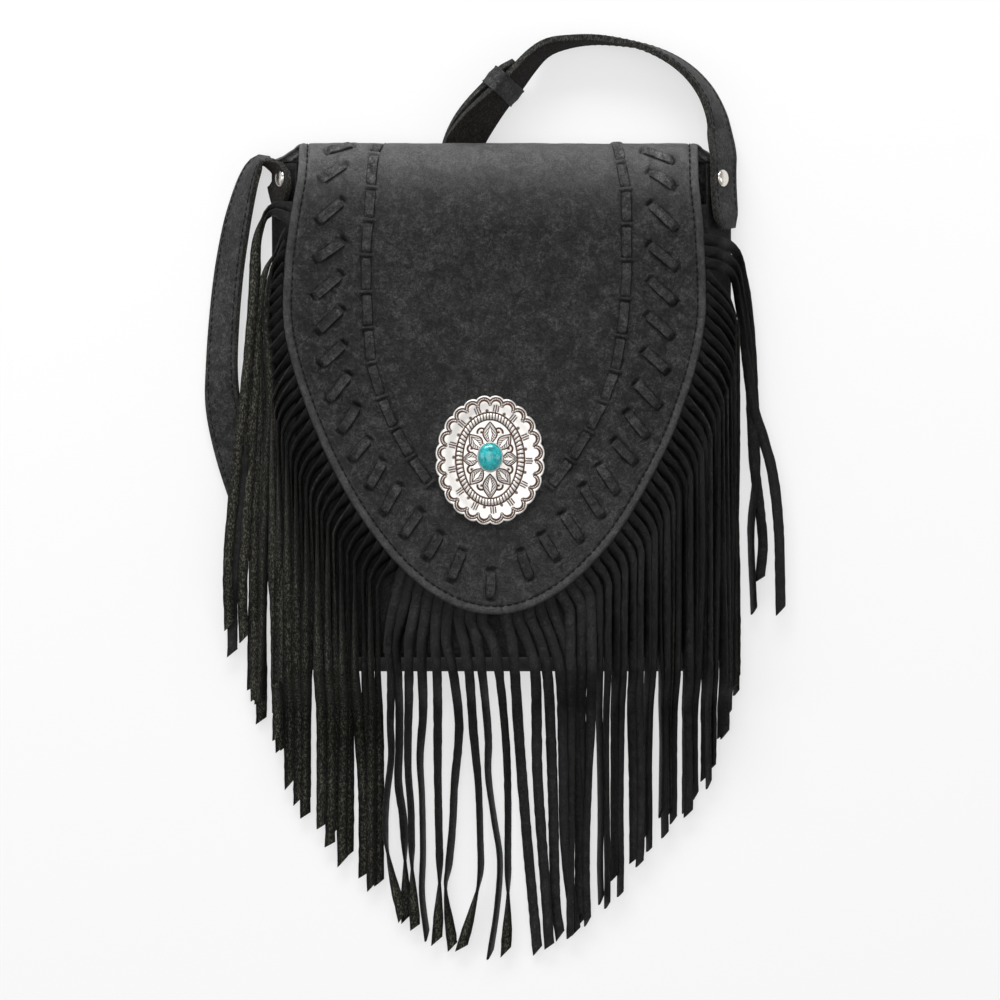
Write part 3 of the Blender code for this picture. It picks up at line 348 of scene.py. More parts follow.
def leather_look(name, dark, light, scuff, rough, scuffing=0.5, grain=0.35):
    """Distressed black leather: soft mottling, pale scuffs, pores and a fine pebbled grain. The vertex attribute
    for wear and painted light, where a piece has one, makes it paler: real worn edges, and a painted highlight
    and painted light where the leather looks lit."""
    look = Look(name, IOR=1.45)
    look.set("Specular IOR Level", 0.3)
    clouds = look.noise(20, 7, 0.62, 0.4)
    patches = look.noise(150, 8, 0.7, 0.8)
    fine = look.noise(1500, 3, 0.65)
    middle = look.noise(620, 4, 0.65, 0.8)
    pebble = look.cells(900)
    cracks = look.noise(300, 6, 0.75, 1.4)
    fibre = look.noise(700, 4, 0.7, 1.5, look.stretched((1.0, 0.3, 1.0)))
    mottling = look.math("ADD", look.times(clouds, 0.5), look.times(patches, 0.5))
    tone = look.ramp(mottling, (0.41, dark), (0.6, light))
    rub = look.ramp(look.times(patches, cracks), (0.22, 0.0), (0.38, 1.0))
    tone = look.mix(look.times(rub, scuffing), tone, (scuff,) * 3)
    tone = look.mix(look.ramp(fibre, (0.56, 0.0), (0.68, 0.5)), tone, (scuff,) * 3)
    tone = look.shaded(tone, fine, (0.38, 0.7), (0.5, 0.97), (0.63, 1.35))
    tone = look.shaded(tone, middle, (0.38, 0.7), (0.62, 1.3))
    crackle = look.node("ShaderNodeVectorMath")
    look.link(look.place, crackle.inputs[0])
    look.link(look.times(middle, 0.0028), crackle.inputs[1])
    tone = look.shaded(tone, look.cells(560, crackle.outputs[0]), (0.0, 1.5), (0.09, 1.05), (0.4, 0.82))
    tone = look.shaded(tone, cracks, (0.36, 0.35), (0.5, 1.05))
    tone = look.shaded(tone, look.noise(105, 9, 0.72, 1.0), (0.42, 0.6), (0.56, 1.25))
    # A paler colour mixed in by the wear attribute: real worn edges, plus a painted highlight on the fold and
    # painted light near the tip of the flap.
    smooth = look.shaded((scuff * 1.9,) * 3, fine, (0.38, 0.72), (0.62, 1.28))
    smooth = look.shaded(smooth, patches, (0.4, 0.75), (0.6, 1.15))
    tone = look.mix(look.attribute("wear_and_painted_light"), tone, smooth)
    look.set("Base Color", look.toned(tone))
    look.set("Roughness", look.ramp(patches, (0.3, rough - 0.09), (0.7, rough + 0.1)))
    relief = look.bump(pebble, grain * 0.9, 0.0005)
    relief = look.bump(cracks, grain * 1.4, 0.0016, relief)
    relief = look.bump(middle, grain * 1.1, 0.0007, relief)
    look.set("Normal", relief)
    return look.material


def suede_look(name, dark, light, fleck):
    """The napped flesh side of leather: short fuzzy fibres in clumps."""
    look = Look(name, Roughness=0.95, IOR=1.35)
    look.set("Specular IOR Level", 0.12)
    look.set("Sheen Weight", 0.05)
    look.set("Sheen Roughness", 0.6)
    long_way = look.stretched((1.0, 0.45, 1.0))
    clumps = look.noise(620, 6, 0.75, 0.8, long_way)
    fibres = look.noise(1500, 3, 0.7, 0.5, long_way)
    tone = look.ramp(clumps, (0.34, dark), (0.66, light))
    tone = look.mix(look.ramp(fibres, (0.5, 0.0), (0.62, 0.85)), tone, fleck)
    tone = look.shaded(tone, look.noise(60, 4, 0.6), (0.3, 0.75), (0.7, 1.25))
    look.set("Base Color", look.toned(tone))
    relief = look.bump(clumps, 1.0, 0.0012)
    look.set("Normal", look.bump(fibres, 0.6, 0.0003, relief))
    return look.material


def cloth_look(name, colour):
    """A plain woven lining."""
    look = Look(name, Roughness=0.9)
    wave = look.node("ShaderNodeTexWave")
    look.link(look.place, wave.inputs["Vector"])
    wave.inputs["Scale"].default_value = 320
    wave.inputs["Distortion"].default_value = 1.0
    weft = look.noise(1400, 2, 0.5)
    look.set("Base Color", look.mix(weft, tuple(0.7 * c for c in colour), tuple(1.4 * c for c in colour)))
    look.set("Normal", look.bump(wave.outputs["Fac"], 0.5, 0.0003))
    return look.material


def metal_look(name, colour, rough):
    """Plated metal with a little grime."""
    look = Look(name, Metallic=1.0)
    drift = look.noise(260, 5, 0.6)
    dirt = look.noise(900, 6, 0.7, 0.5)
    stain = look.times(look.ramp(dirt, (0.5, 0.0), (0.8, 1.0)), 0.25)
    look.set("Base Color", look.mix(stain, colour, tuple(0.25 * c for c in colour)))
    look.set("Roughness", look.ramp(drift, (0.3, rough), (0.7, rough + 0.14)))
    look.set("Normal", look.bump(dirt, 0.12, 0.0002))
    return look.material


def silver_look():
    """Antiqued silver: the stamped lines hold a dark patina, given by a vertex attribute."""
    look = Look("antiqued_silver")
    drift = look.ramp(look.noise(330, 6, 0.7, 0.4), (0.5, 0.0), (0.78, 1.0))
    fine = look.noise(2600, 4, 0.7)
    stain = look.math("ADD", look.attribute("patina"), look.times(drift, 0.12), True)
    metal = look.mix(fine, (0.82, 0.79, 0.76), (1.0, 0.975, 0.94))
    look.set("Base Color", look.mix(stain, metal, (0.085, 0.038, 0.018)))
    look.set("Metallic", look.math("SUBTRACT", 0.55, look.times(stain, 0.45)))
    look.set("Roughness", look.math("ADD", look.times(stain, 0.3), 0.3))
    look.set("Specular IOR Level", 0.25)
    look.set("Normal", look.bump(fine, 0.12, 0.00015))
    return look.material


def turquoise_look():
    """A polished turquoise with darker veins and paler clouds."""
    look = Look("turquoise_stone", Roughness=0.16, IOR=1.6)
    look.set("Coat Weight", 0.5)
    look.set("Coat Roughness", 0.06)
    clouds = look.noise(420, 5, 0.6, 0.8)
    tone = look.ramp(clouds, (0.3, (0.002, 0.13, 0.15)), (0.46, (0.008, 0.4, 0.43)), (0.66, (0.02, 0.56, 0.58)))
    veins = look.ramp(look.cells(330, look.stretched((1.0, 1.3, 1.0))), (0.0, 1.0), (0.06, 0.0))
    look.set("Base Color", look.mix(look.times(veins, 0.55), tone, (0.02, 0.1, 0.1)))
    return look.material


LEATHER = leather_look("black_leather", 0.008, 0.021, 0.06, 0.58, 0.5, 0.5)
LACE_LEATHER = leather_look("lace_leather", 0.011, 0.021, 0.065, 0.52, 0.4, 0.3)
STRAP_LEATHER = leather_look("strap_leather", 0.014, 0.028, 0.07, 0.56, 0.4, 0.35)
GRAIN = leather_look("strand_grain", 0.0022, 0.0065, 0.018, 0.5, 0.4, 0.35)
# A darker copy of the black leather for the pocket's front and gusset: painted shade under the flap and fringe.
SHADED_LEATHER = leather_look("front_leather_painted_shade", 0.003, 0.008, 0.025, 0.6, 0.4, 0.4)
BROWN = suede_look("strap_inside", (0.006, 0.005, 0.0045), (0.02, 0.0165, 0.015), (0.045, 0.039, 0.036))
FLESH = suede_look("strand_flesh", (0.0014, 0.0014, 0.0011), (0.013, 0.013, 0.0102), (0.085, 0.083, 0.064))
EDGE = suede_look("cut_edge", (0.006, 0.006, 0.005), (0.024, 0.023, 0.019), (0.08, 0.077, 0.065))
STRAP_EDGE = suede_look("strap_edge", (0.008, 0.008, 0.007), (0.034, 0.033, 0.03), (0.1, 0.097, 0.087))
# Dark thread for the stitches. It is also used on the laces' flared side walls, as their cut edge and as painted
# shade beside each lace.
THREAD_AND_LACE_SHADE = leather_look("thread", 0.003, 0.007, 0.02, 0.6, 0.2, 0.1)
NICKEL = metal_look("nickel", (0.78, 0.74, 0.68), 0.2)
SILVER = silver_look()
TURQUOISE = turquoise_look()
CLOTH = cloth_look("lining_cloth", (0.03, 0.028, 0.027))


# Camera, floor and lights

camera = bpy.data.objects.new("camera", bpy.data.cameras.new("camera"))
bpy.context.scene.collection.objects.link(camera)
camera.location = (2.75 * MM, -0.5 * MM, 2.03)
camera.data.lens = 144
camera.data.sensor_width = 36
camera.data.clip_end = 10
bpy.context.scene.camera = camera

floor_look = Look("floor", Roughness=0.9)
floor_look.set("Specular IOR Level", 0.0)
floor_look.set("Base Color", floor_look.ramp(floor_look.noise(3), (0.0, 0.955), (1.0, 0.965)))
seen = floor_look.node("ShaderNodeLightPath")
glow = floor_look.node("ShaderNodeEmission")
blend_in = floor_look.node("ShaderNodeMixShader")
rays = floor_look.math("MAXIMUM", seen.outputs["Is Camera Ray"], seen.outputs["Is Glossy Ray"])
rays = floor_look.math("MAXIMUM", rays, seen.outputs["Is Transmission Ray"])
floor_look.link(floor_look.times(rays, 0.6), blend_in.inputs[0])
floor_look.link(floor_look.shader.outputs[0], blend_in.inputs[1])
floor_look.link(glow.outputs[0], blend_in.inputs[2])
floor_look.link(blend_in.outputs[0], floor_look.tree.nodes["Material Output"].inputs["Surface"])
FLOOR_REACH, FLOOR_LEVEL = 4000, -0.05
corners = [(x * FLOOR_REACH, y * FLOOR_REACH, FLOOR_LEVEL) for x, y in ((-1, -1), (1, -1), (1, 1), (-1, 1))]
floor = mesh_object("floor", corners, [(0, 1, 2, 3)], floor_look.material, False)

world = bpy.data.worlds.new("studio")
bpy.context.scene.world = world
world.use_nodes = True
world.node_tree.nodes["Background"].inputs["Color"].default_value = (1.0, 1.0, 1.0, 1.0)
world.node_tree.nodes["Background"].inputs["Strength"].default_value = 0.36
bpy.context.scene.view_settings.view_transform = "Standard"


def softbox(name, place, aim, size, power):
    """A rectangular light at a place, turned towards its aim."""
    light = bpy.data.objects.new(name, bpy.data.lights.new(name, "AREA"))
    light.data.shape = "RECTANGLE"
    light.data.size, light.data.size_y = size
    light.data.energy = power
    light.location = place
    light.rotation_mode = "QUATERNION"
    light.rotation_quaternion = (Vector(aim) - Vector(place)).to_track_quat("-Z", "Y")
    bpy.context.scene.collection.objects.link(light)


softbox("above", (-0.2, 0.2, 2.5), (0, 0, 0), (1.6, 1.6), 13)
softbox("key", (-0.25, 1.45, 0.8), (0, 0.05, 0), (1.5, 0.5), 21)
softbox("left", (-1.6, 0.2, 1.0), (0, 0, 0), (0.7, 1.4), 5)
softbox("right", (1.6, -0.1, 1.0), (0, 0, 0), (0.7, 1.4), 4)


# The flap: one sheet with its rolled edge, its stitched groove and a slit for each end of a lace

FLAP_TOP = 30.8
OUTER = [
    (354, 144, 325, 151), (347, 163, 320, 181), (344, 200, 317, 223), (345, 240, 315, 261),
    (342, 273, 313, 298), (343, 308, 317, 333), (345, 343, 320, 366), (350, 374, 328, 402),
    (358, 405, 340, 433), (370, 438, 351, 461), (384, 460, 368, 489), (400, 484, 382, 515),
    (422, 510, 402, 538), (441, 533, 425, 560), (463, 550, 450, 582), (491, 569, 490, 600),
    (520, 550, 531, 580), (541, 533, 558, 561), (562, 512, 582, 542), (582, 485, 603, 518),
    (598, 464, 618, 494), (613, 440, 636, 464), (626, 411, 648, 438), (635, 382, 660, 408),
    (643, 350, 668, 373), (646, 314, 673, 338), (649, 279, 676, 304), (648, 244, 678, 269),
    (649, 203, 677, 230), (648, 170, 676, 188), (642, 149, 675, 161),
]
INNER_LEFT = [
    (379, 142), (374, 153), (371, 187), (369, 220), (366, 255), (366, 292), (368, 328), (371, 363),
    (382, 397), (395, 428), (411, 457), (430, 484),
]
INNER_RIGHT = [
    (617, 142), (621, 161), (626, 189), (627, 224), (627, 260), (625, 299), (621, 336), (615, 371),
    (604, 402), (589, 431), (571, 460), (550, 487),
]

BEND = 150.0  # where the flat part ends
FOLD_ROWS = 40
fold = np.concatenate([
    bezier((BEND, FLAP_TOP), (165.5, FLAP_TOP), (177.0, 25.5), (178.9, 16.5), np.linspace(0, 1, FOLD_ROWS)),
    bezier((178.9, 16.5), (179.6, 12.8), (176.5, 11.2), (171.0, 10.4), np.linspace(0, 1, 24))[1:],
])
fold_run = run_of(fold)
SHEET_END = BEND + fold_run[-1]
FOLD_AT = BEND + fold_run[FOLD_ROWS - 1]


def sheet_place(x, w, lift):
    """Points of the flap's sheet: across, along its length w and lift off its face."""
    s = np.clip(w - BEND, 0, fold_run[-1])
    (y, z), after, before = (
        [np.interp(s + step, fold_run, fold[:, k]) for k in (0, 1)] for step in (0, 0.5, -0.5))
    flat = w < BEND
    y, z = np.where(flat, w, y), np.where(flat, FLAP_TOP, z)
    dy, dz = np.where(flat, 1.0, after[0] - before[0]), np.where(flat, 0.0, after[1] - before[1])
    size = np.hypot(dy, dz)
    return np.stack([x, y - dz / size * lift, z + dy / size * lift], 1)


def sheet_length(y):
    """The length along the sheet at which its face is seen at this y from above."""
    if y < BEND:
        return y
    return BEND + float(np.interp(y, fold[:FOLD_ROWS, 0], fold_run[:FOLD_ROWS]))


def sheet_spot(px, py):
    """A place of the photograph in the flap's flat sheet."""
    x, y = spot(px, py)
    return np.array([x, sheet_length(y)])


def flap_edge():
    """The flap's right edge in the flat sheet, from the back over the fold down to the tip."""
    line = [(114.5, SHEET_END), (108.5, SHEET_END - 2.5), (103, FOLD_AT + 4.5), (100.3, FOLD_AT), (100.2, 168)]
    top, widest, tip = (100.4, 160.0), (106.0, 97.0), (0.0, -57.9)
    for t in np.linspace(0, 1, 8, endpoint=False):
        line.append((top[0] + (widest[0] - top[0]) * sin(t * pi / 2), top[1] + (widest[1] - top[1]) * t))
    curve = bezier(widest, (widest[0], 57), (60, tip[1]), tip, np.linspace(0, 1, 60))
    return np.concatenate([np.array(line), curve])


def edge_shift(w):
    """How far the flap lies to the right, which is most at its fold."""
    return 2.1 * np.clip((w - 120) / 50, 0, 1)


right_edge = resample(flap_edge(), 1.2)
rim = np.concatenate([right_edge, right_edge[-2::-1] * (-1, 1)])
rim[:, 0] += edge_shift(rim[:, 1]) + 0.35 * waves(rim[:, 1], rim[:, 0], 60, 5)
inward = right_of(ways_of(rim))
LACES = [(sheet_spot(x0, y0), sheet_spot(x1, y1)) for x0, y0, x1, y1 in OUTER]
INNER = {"left": [sheet_spot(*p) for p in INNER_LEFT], "right": [sheet_spot(*p) for p in INNER_RIGHT]}


def slits():
    """Every slit of the flap as its centre, the lace's way through it, its half width and kind."""
    found = []
    for a, b in LACES:
        way = unit(b - a)
        found += [(a + way * 0.7, way, 2.3, "round"), (b - way * 0.7, -way, 2.3, "round")]
    for line in INNER.values():
        for k, p in enumerate(line):
            way = unit(line[min(k + 1, len(line) - 1)] - line[max(k - 1, 0)])
            found.append((p, way, 2.6, "bar"))
    return found


SLITS = slits()
RING_DEPTHS = (0, 0.35, 0.8, 1.5, 2.4, 3.3, 3.9, 4.3, 4.7, 5.4)
GROOVE_DEPTH = 4.3


def flap_lift(points, depth):
    """Height of the flap's face over its flat form, in millimetres."""
    x, w = points[:, 0], points[:, 1]
    lift = np.interp(depth, [*RING_DEPTHS, 7, 11, 22],
                     [-1.6, -0.65, -0.1, 0.15, 0.2, 0.0, -0.4, -0.68, -0.4, 0.0, 0.15, 0.1, 0.25])
    lift += 0.22 * np.clip((6.5 - depth) / 2, 0, 1) * waves(x, w, 6.5, 11)
    calm = share_of(depth, 0, 14)
    lift += 0.35 * calm * waves(x, w, 70, 3) + 0.1 * calm * waves(x, w, 17, 4)
    lift += 0.16 * waves(x, w * 0.3, 26, 8) * share_of(w, 140, 160)
    for a, b in LACES:
        middle, length = (a + b) / 2, np.linalg.norm(b - a)
        way = (b - a) / length
        near = np.hypot(x - middle[0], w - middle[1]) < length
        p = (x[near] - middle[0]) * way[0] + (w[near] - middle[1]) * way[1]
        q = np.abs(-(x[near] - middle[0]) * way[1] + (w[near] - middle[1]) * way[0])
        swell, trench = np.exp(-(((q - 3.9) / 0.9) ** 2)), np.exp(-(((q - 2.45) / 0.4) ** 2))
        lift[near] += share_of(length / 2 - np.abs(p), 0, 1.5) * (0.12 * swell - 0.3 * trench)
    for centre, way, half, kind in SLITS:
        near = np.abs(x - centre[0]) + np.abs(w - centre[1]) < 14
        dx, dw = x[near] - centre[0], w[near] - centre[1]
        p = dx * way[0] + dw * way[1]
        q = -dx * way[1] + dw * way[0]
        if kind == "round":
            pit = np.exp(-((np.abs(p + 0.35) / 1.0) ** 2.5 + (np.abs(q) / (half - 0.15)) ** 3))
            lip = np.exp(-(((p + 2.4) / 1.2) ** 2 + (q / 3.0) ** 2))
            lift[near] += 0.35 * lip - 2.3 * pit
        else:
            bar = np.exp(-((np.abs(p) / 0.85) ** 3 + (np.abs(q) / (half + 0.6)) ** 6))
            trench = np.exp(-((np.abs(q) / (half + 0.1)) ** 8 + (np.abs(p) / 7.0) ** 8))
            lift[near] += 1.25 * bar
            lift[near] = np.where(bar > 0.12, lift[near], np.minimum(lift[near], 0.3 - 0.75 * trench))
    return lift


def flap_points():
    """The places of the flap's mesh: the rim comes first, and it is dense round laces and slits."""
    rings = [rim + inward * d for d in (*RING_DEPTHS, 6.3)]
    xs, ws = np.meshgrid(np.arange(-116, 118, 1.7), np.arange(-56, SHEET_END, 1.7))
    xs = xs + 0.85 * (np.arange(xs.shape[0]) % 2)[:, None]
    field = np.stack([xs.ravel(), ws.ravel()], 1)
    field = field[distance_to(rim, field) > 7.1]
    limit = np.interp(field[:, 1], right_edge[::-1, 1], right_edge[::-1, 0])
    field = field[(np.abs(field[:, 0] - edge_shift(field[:, 1])) < limit) & (field[:, 1] < SHEET_END - 1)]
    for centre, *_ in SLITS:
        field = field[np.hypot(*(field - centre).T) > 3.8]
    local = []
    for a, b in LACES:
        middle, way = (a + b) / 2, unit(b - a)
        across = way[::-1] * (-1, 1)
        along = middle + np.arange(-4.2, 4.3, 1.05)[:, None] * way
        off = field - middle
        field = field[~((np.abs(off @ way) < 4.8) & (np.abs(off @ across) < 4.6))]
        local += [along + q * across for q in (-4.0, -3.2, -2.75, -2.35, -1.9, 0.0, 1.9, 2.35, 2.75, 3.2, 4.0)]
    for centre, way, *_ in SLITS:
        p, q = np.meshgrid(np.arange(-2.75, 2.8, 0.5), np.arange(-3.5, 3.6, 0.7))
        p, q = p.ravel(), q.ravel()
        keep = p * p + q * q < 14
        local.append(centre + p[keep, None] * way + q[keep, None] * (way[::-1] * (-1, 1)))
    dense = np.concatenate(local)
    dense = dense[(distance_to(rim, dense) > 6.7) & (dense[:, 1] < SHEET_END - 1)]
    return np.concatenate([*rings, field, dense])


def build_flap():
    places, faces = fill(flap_points(), len(rim))
    depth = distance_to(rim, places)
    top = sheet_place(places[:, 0], places[:, 1], flap_lift(places, depth))
    made = mesh_object("flap_leather", top, faces, LEATHER)
    # Real wear along the rim. Along the length: a painted highlight, with some real wear, on the rolled fold, and
    # painted light towards the tip.
    wear_and_painted_light = np.clip((6.5 - depth) / 3, 0, 1) * 0.3
    wear_and_painted_light += np.interp(places[:, 1], [-58, 0, 50, 135, 152, 166, 174], [0.12, 0.07, 0, 0, 0.22, 0.75, 1.0])
    mark(made, "wear_and_painted_light", np.clip(wear_and_painted_light, 0, 1))
    thicken(made, 1.1, False)
    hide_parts("flap")
    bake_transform(made)


build_flap()


def flap_face(x, w):
    """Height of the flap's face at places of its sheet, without the slits."""
    return 0.25 + 0.35 * waves(x, w, 70, 3) + 0.1 * waves(x, w, 17, 4)


def strip(pile, start, end, width, rise, dive, seed):
    """A flat lace that comes up at start, lies on the flap and goes down again at end."""
    length = np.linalg.norm(end - start)
    way = (end - start) / length
    across = np.array([-way[1], way[0]])
    rows = 17
    t = np.linspace(0, 1, rows)
    t = 0.5 - 0.5 * np.cos(t * pi) * (0.6 + 0.4 * np.abs(np.cos(t * pi)))
    section = [(-0.58, -0.95), (-0.5, -0.05), (-0.44, 0.12), (-0.37, -0.02), (0.0, 0.08),
               (0.37, -0.02), (0.44, 0.12), (0.5, -0.05), (0.58, -0.95)]
    rng = np.random.RandomState(seed)
    bend = rng.uniform(-0.35, 0.35)
    points = []
    for s in t:
        off = min(s, 1 - s) * length
        down = dive * np.exp(-((off / 1.1) ** 2.4))
        pinch = 1 - 0.3 * np.exp(-((off / 1.1) ** 2))
        middle = start + way * s * length + across * bend * sin(s * pi)
        for q, z in section:
            place = middle + across * q * width * pinch
            lift = flap_face(place[:1], place[1:])
            swell = 0.22 * sin(s * pi) + 0.12 * sin(s * 9 + seed)
            points.append(sheet_place(place[:1], place[1:], lift + rise + swell * 0.6 + z - down)[0])
    size = len(section)
    faces = tube_faces(rows, size)
    # The lace's outward-flared side walls and underside take the dark thread material: its cut edge, and painted
    # shade in the gap between lace and flap.
    looks = [1 if face[0] % size in (0, 7, 8) else 0 for face in faces[:-2]]
    # Laces on and near the rolled fold get a lighter tone: a painted highlight like the flap's, with some real
    # wear.
    wear_and_highlight_tone = float(np.interp((start[1] + end[1]) / 2, [120, 150, 168], [0.12, 0.5, 1.7]))
    pile.add(points, faces, looks + [1, 1], wear_and_highlight_tone)


def build_lace(node, lines, width, rise, dive, seed):
    pile = Pile()
    for k, (a, b) in enumerate(lines):
        way = unit(b - a)
        strip(pile, a + way * 0.5, b - way * 0.5, width, rise, dive, seed + k)
    made = pile.make(f"{node}_strip", [LACE_LEATHER, THREAD_AND_LACE_SHADE])
    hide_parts(node)
    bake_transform(made)


build_lace("edge_lace", LACES, 4.5, 1.05, 2.6, 0)
for name, line in INNER.items():
    build_lace(f"inner_lace_{name}", zip(line, line[1:]), 4.6, 0.62, 1.3, 40)


def capsule(pile, a, b, up, radius):
    """One stitch of thread from a to b, bowed up in its middle."""
    side = np.cross(unit(b - a), up)
    rows = [(0.0, 0.35), (0.18, 0.9), (0.5, 1.0), (0.82, 0.9), (1.0, 0.35)]
    points = []
    for t, size in rows:
        middle = a + (b - a) * t + up * radius * 0.9 * (sin(t * pi) - 0.35)
        for k in range(5):
            turn = 2 * pi * k / 5
            points.append(middle + radius * size * (side * cos(turn) + up * sin(turn)))
    pile.add(points, tube_faces(len(rows), 5))


def build_flap_stitches():
    pile = Pile()
    line = resample((rim + inward * GROOVE_DEPTH)[8:-8], 3.7)
    for a, b in zip(line, line[1:]):
        ends = np.stack([a + (b - a) * 0.12, a + (b - a) * 0.86])
        p = sheet_place(ends[:, 0], ends[:, 1], np.full(2, -0.35))
        q = sheet_place(ends[:, 0], ends[:, 1], np.full(2, 0.65))
        capsule(pile, p[0], p[1], q[0] - p[0], 0.38)
    made = pile.make("flap_stitching", THREAD_AND_LACE_SHADE)
    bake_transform(made)


build_flap_stitches()


# Fringe

STRAND_HALF = 2.65  # half of a strand's width
STRAND_THICK = 1.2
STRAND_STEP = 5.85
ROOT_LEVEL = 28.2
FRONT_HALF = 103.0  # half of the pocket's width at its front
SHIFT = 3.5  # how far the pocket lies to the right
FRONT_LEVEL = 23.5
FRONT_BOTTOM = -79.0


def support(x, y):
    """Height of what a strand lies on: the front, the slope of the gusset, the strap or the floor."""
    out = max(abs(x - SHIFT) - FRONT_HALF, 0.7 * (FRONT_BOTTOM - y)) - 4.0
    floor_level = 0.8
    if x < 0:
        floor_level += 8.0 * min(max((y + 62) / 20, 0.0), 1.0)
    share = step_up(out, 0.0, 17.0)
    return FRONT_LEVEL + (floor_level - FRONT_LEVEL) * share


def strand(pile, plan, roll, lift, slant, seed):
    """One strand along a plan of (x, y). roll turns it about its length, in degrees by distance
    from its root, and 0 has its grain up. lift is how far it lies over its support, and slant
    how far its end is cut aslant. The end is cut the other way where the flesh side shows."""
    plan = smooth_line(plan, 3.0)
    count = len(plan)
    reach = run_of(plan)
    turns = np.radians(np.interp(reach, *zip(*roll)))
    slant *= 1 if cos(radians(roll[-1][1])) > 0 else -1
    ahead = ways_of(plan)
    rng = np.random.RandomState(seed)
    level = np.array([support(x, y) for x, y in plan]) + np.interp(reach, *zip(*lift))
    level = level + STRAND_HALF * np.abs(np.sin(turns)) + STRAND_THICK / 2 * np.abs(np.cos(turns)) + 0.2
    fade = np.clip(1 - reach / 12.0, 0, 1) ** 1.5
    level = level * (1 - fade) + ROOT_LEVEL * fade
    points = []
    section = [(-1, -0.3), (-1, 0.3), (-0.8, 0.6), (0.0, 0.68), (0.8, 0.6),
               (1, 0.3), (1, -0.3), (0.8, -0.6), (0.0, -0.68), (-0.8, -0.6)]
    # Painted shade along each strand's edges and a painted highlight down the middle of each face, added to its
    # tone.
    shade = [-0.75, -0.75, -0.5, 0.45, -0.5, -0.75, -0.75, -0.6, 0.6, -0.6]
    for k in range(count):
        side = np.array([ahead[k, 1], -ahead[k, 0], 0.0])
        turn = turns[k]
        across = side * cos(turn) + np.array([0, 0, sin(turn)])
        up = -side * sin(turn) + np.array([0, 0, cos(turn)])
        middle = np.array([plan[k, 0], plan[k, 1], level[k]])
        wide = STRAND_HALF * (1 + rng.uniform(-0.04, 0.04)) * (1 + 0.14 * max(1 - reach[k] / 16, 0))
        cut = slant * np.array([ahead[k, 0], ahead[k, 1], 0.0]) if k == count - 1 else np.zeros(3)
        for q, z in section:
            fray = rng.uniform(-0.1, 0.1) if abs(q) == 1 else 0.0
            points.append(middle + across * (q * wide + fray) + up * z * STRAND_THICK + cut * q)
    looks = [2, 0, 0, 0, 0, 2, 1, 1, 1, 1] * (count - 1) + [2, 2]
    tone = rng.uniform(-0.4, 0.45)
    tones = [max(tone + darker, -0.85) for darker in shade] * count
    pile.add(points, tube_faces(count, len(section)), looks, tones)


LEFT_TIPS = [
    (238, 590), (226, 628), (228, 655), (243, 665), (252, 690), (262, 716), (271, 742), (278, 755), (283, 777),
    (297, 808), (308, 820), (316, 829), (331, 851), (343, 867), (358, 884), (364, 890), (378, 898),
    (386, 907), (402, 925), (412, 934), (426, 941), (436, 948), (452, 953), (462, 955), (490, 960),
]
RIGHT_TIPS = [
    (755, 590), (752, 640), (745, 668), (738, 692), (728, 735), (716, 777), (704, 795), (694, 812), (684, 822),
    (672, 832), (658, 845), (648, 860), (637, 872), (628, 893), (615, 905), (605, 915), (595, 922),
    (577, 937), (561, 942), (550, 952), (538, 957), (525, 962), (505, 961),
]
# Ways of the outermost strands at the left, which hang free of the bag: plan, roll, lift
LEFT_FIRST = [
    ([(272, 206), (260, 219), (254, 244), (251, 300), (247, 350), (242, 400), (236, 452), (229, 521), (226, 570),
      (226, 628)],
     [(0, 12), (8, 40), (20, 100), (34, 158), (90, 150), (160, 166)], 6.0),
    ([(272, 211), (261, 223), (255, 246), (253, 300), (253, 350), (251, 400), (244, 452), (235, 521), (230, 590),
      (229, 655)],
     [(0, 15), (8, 45), (20, 120), (50, 178), (125, 215), (145, 345), (180, 350)], 4.5),
    ([(284, 238), (277, 250), (265, 268), (258, 300), (254, 370), (249, 452), (243, 540), (240, 600), (241, 640)],
     [(0, 25), (8, 60), (20, 110), (40, 150), (170, 158)], 5.0),
    ([(279, 256), (270, 270), (263, 304), (262, 350), (258, 420), (253, 500), (251, 600), (252, 700)],
     [(0, 30), (8, 62), (20, 100), (50, 140), (170, 150)], 3.4),
    ([(277, 262), (269, 279), (266, 316), (268, 350), (270, 400), (266, 450), (262, 540), (260, 620), (256, 704)],
     [(0, 30), (8, 62), (17, 115), (28, 155), (170, 140)], 4.2),
    ([(275, 278), (269, 300), (266, 334), (266, 400), (263, 470), (256, 540), (250, 620), (249, 690)],
     [(0, 30), (8, 62), (24, 95), (60, 150), (170, 165)], 2.0),
]
# Ways of the strands that stray at the right
RIGHT_FIRST = [
    ([(735, 246), (747, 278), (753, 325), (756, 380), (758, 430), (759, 480), (754, 530), (757, 612)],
     [(0, -8), (10, -30), (30, -50), (90, -30), (170, -60)], 3.0),
    ([(734, 260), (744, 292), (751, 340), (754, 400), (757, 460), (763, 510), (766, 545), (763, 580)],
     [(0, -10), (10, -40), (40, -60), (90, -20), (150, -30)], 4.5),
    ([(733, 272), (742, 310), (750, 365), (756, 405), (767, 440), (776, 475), (782, 530), (784, 612)],
     [(0, -10), (10, -45), (40, -60), (80, -15), (160, 20)], 6.0),
]
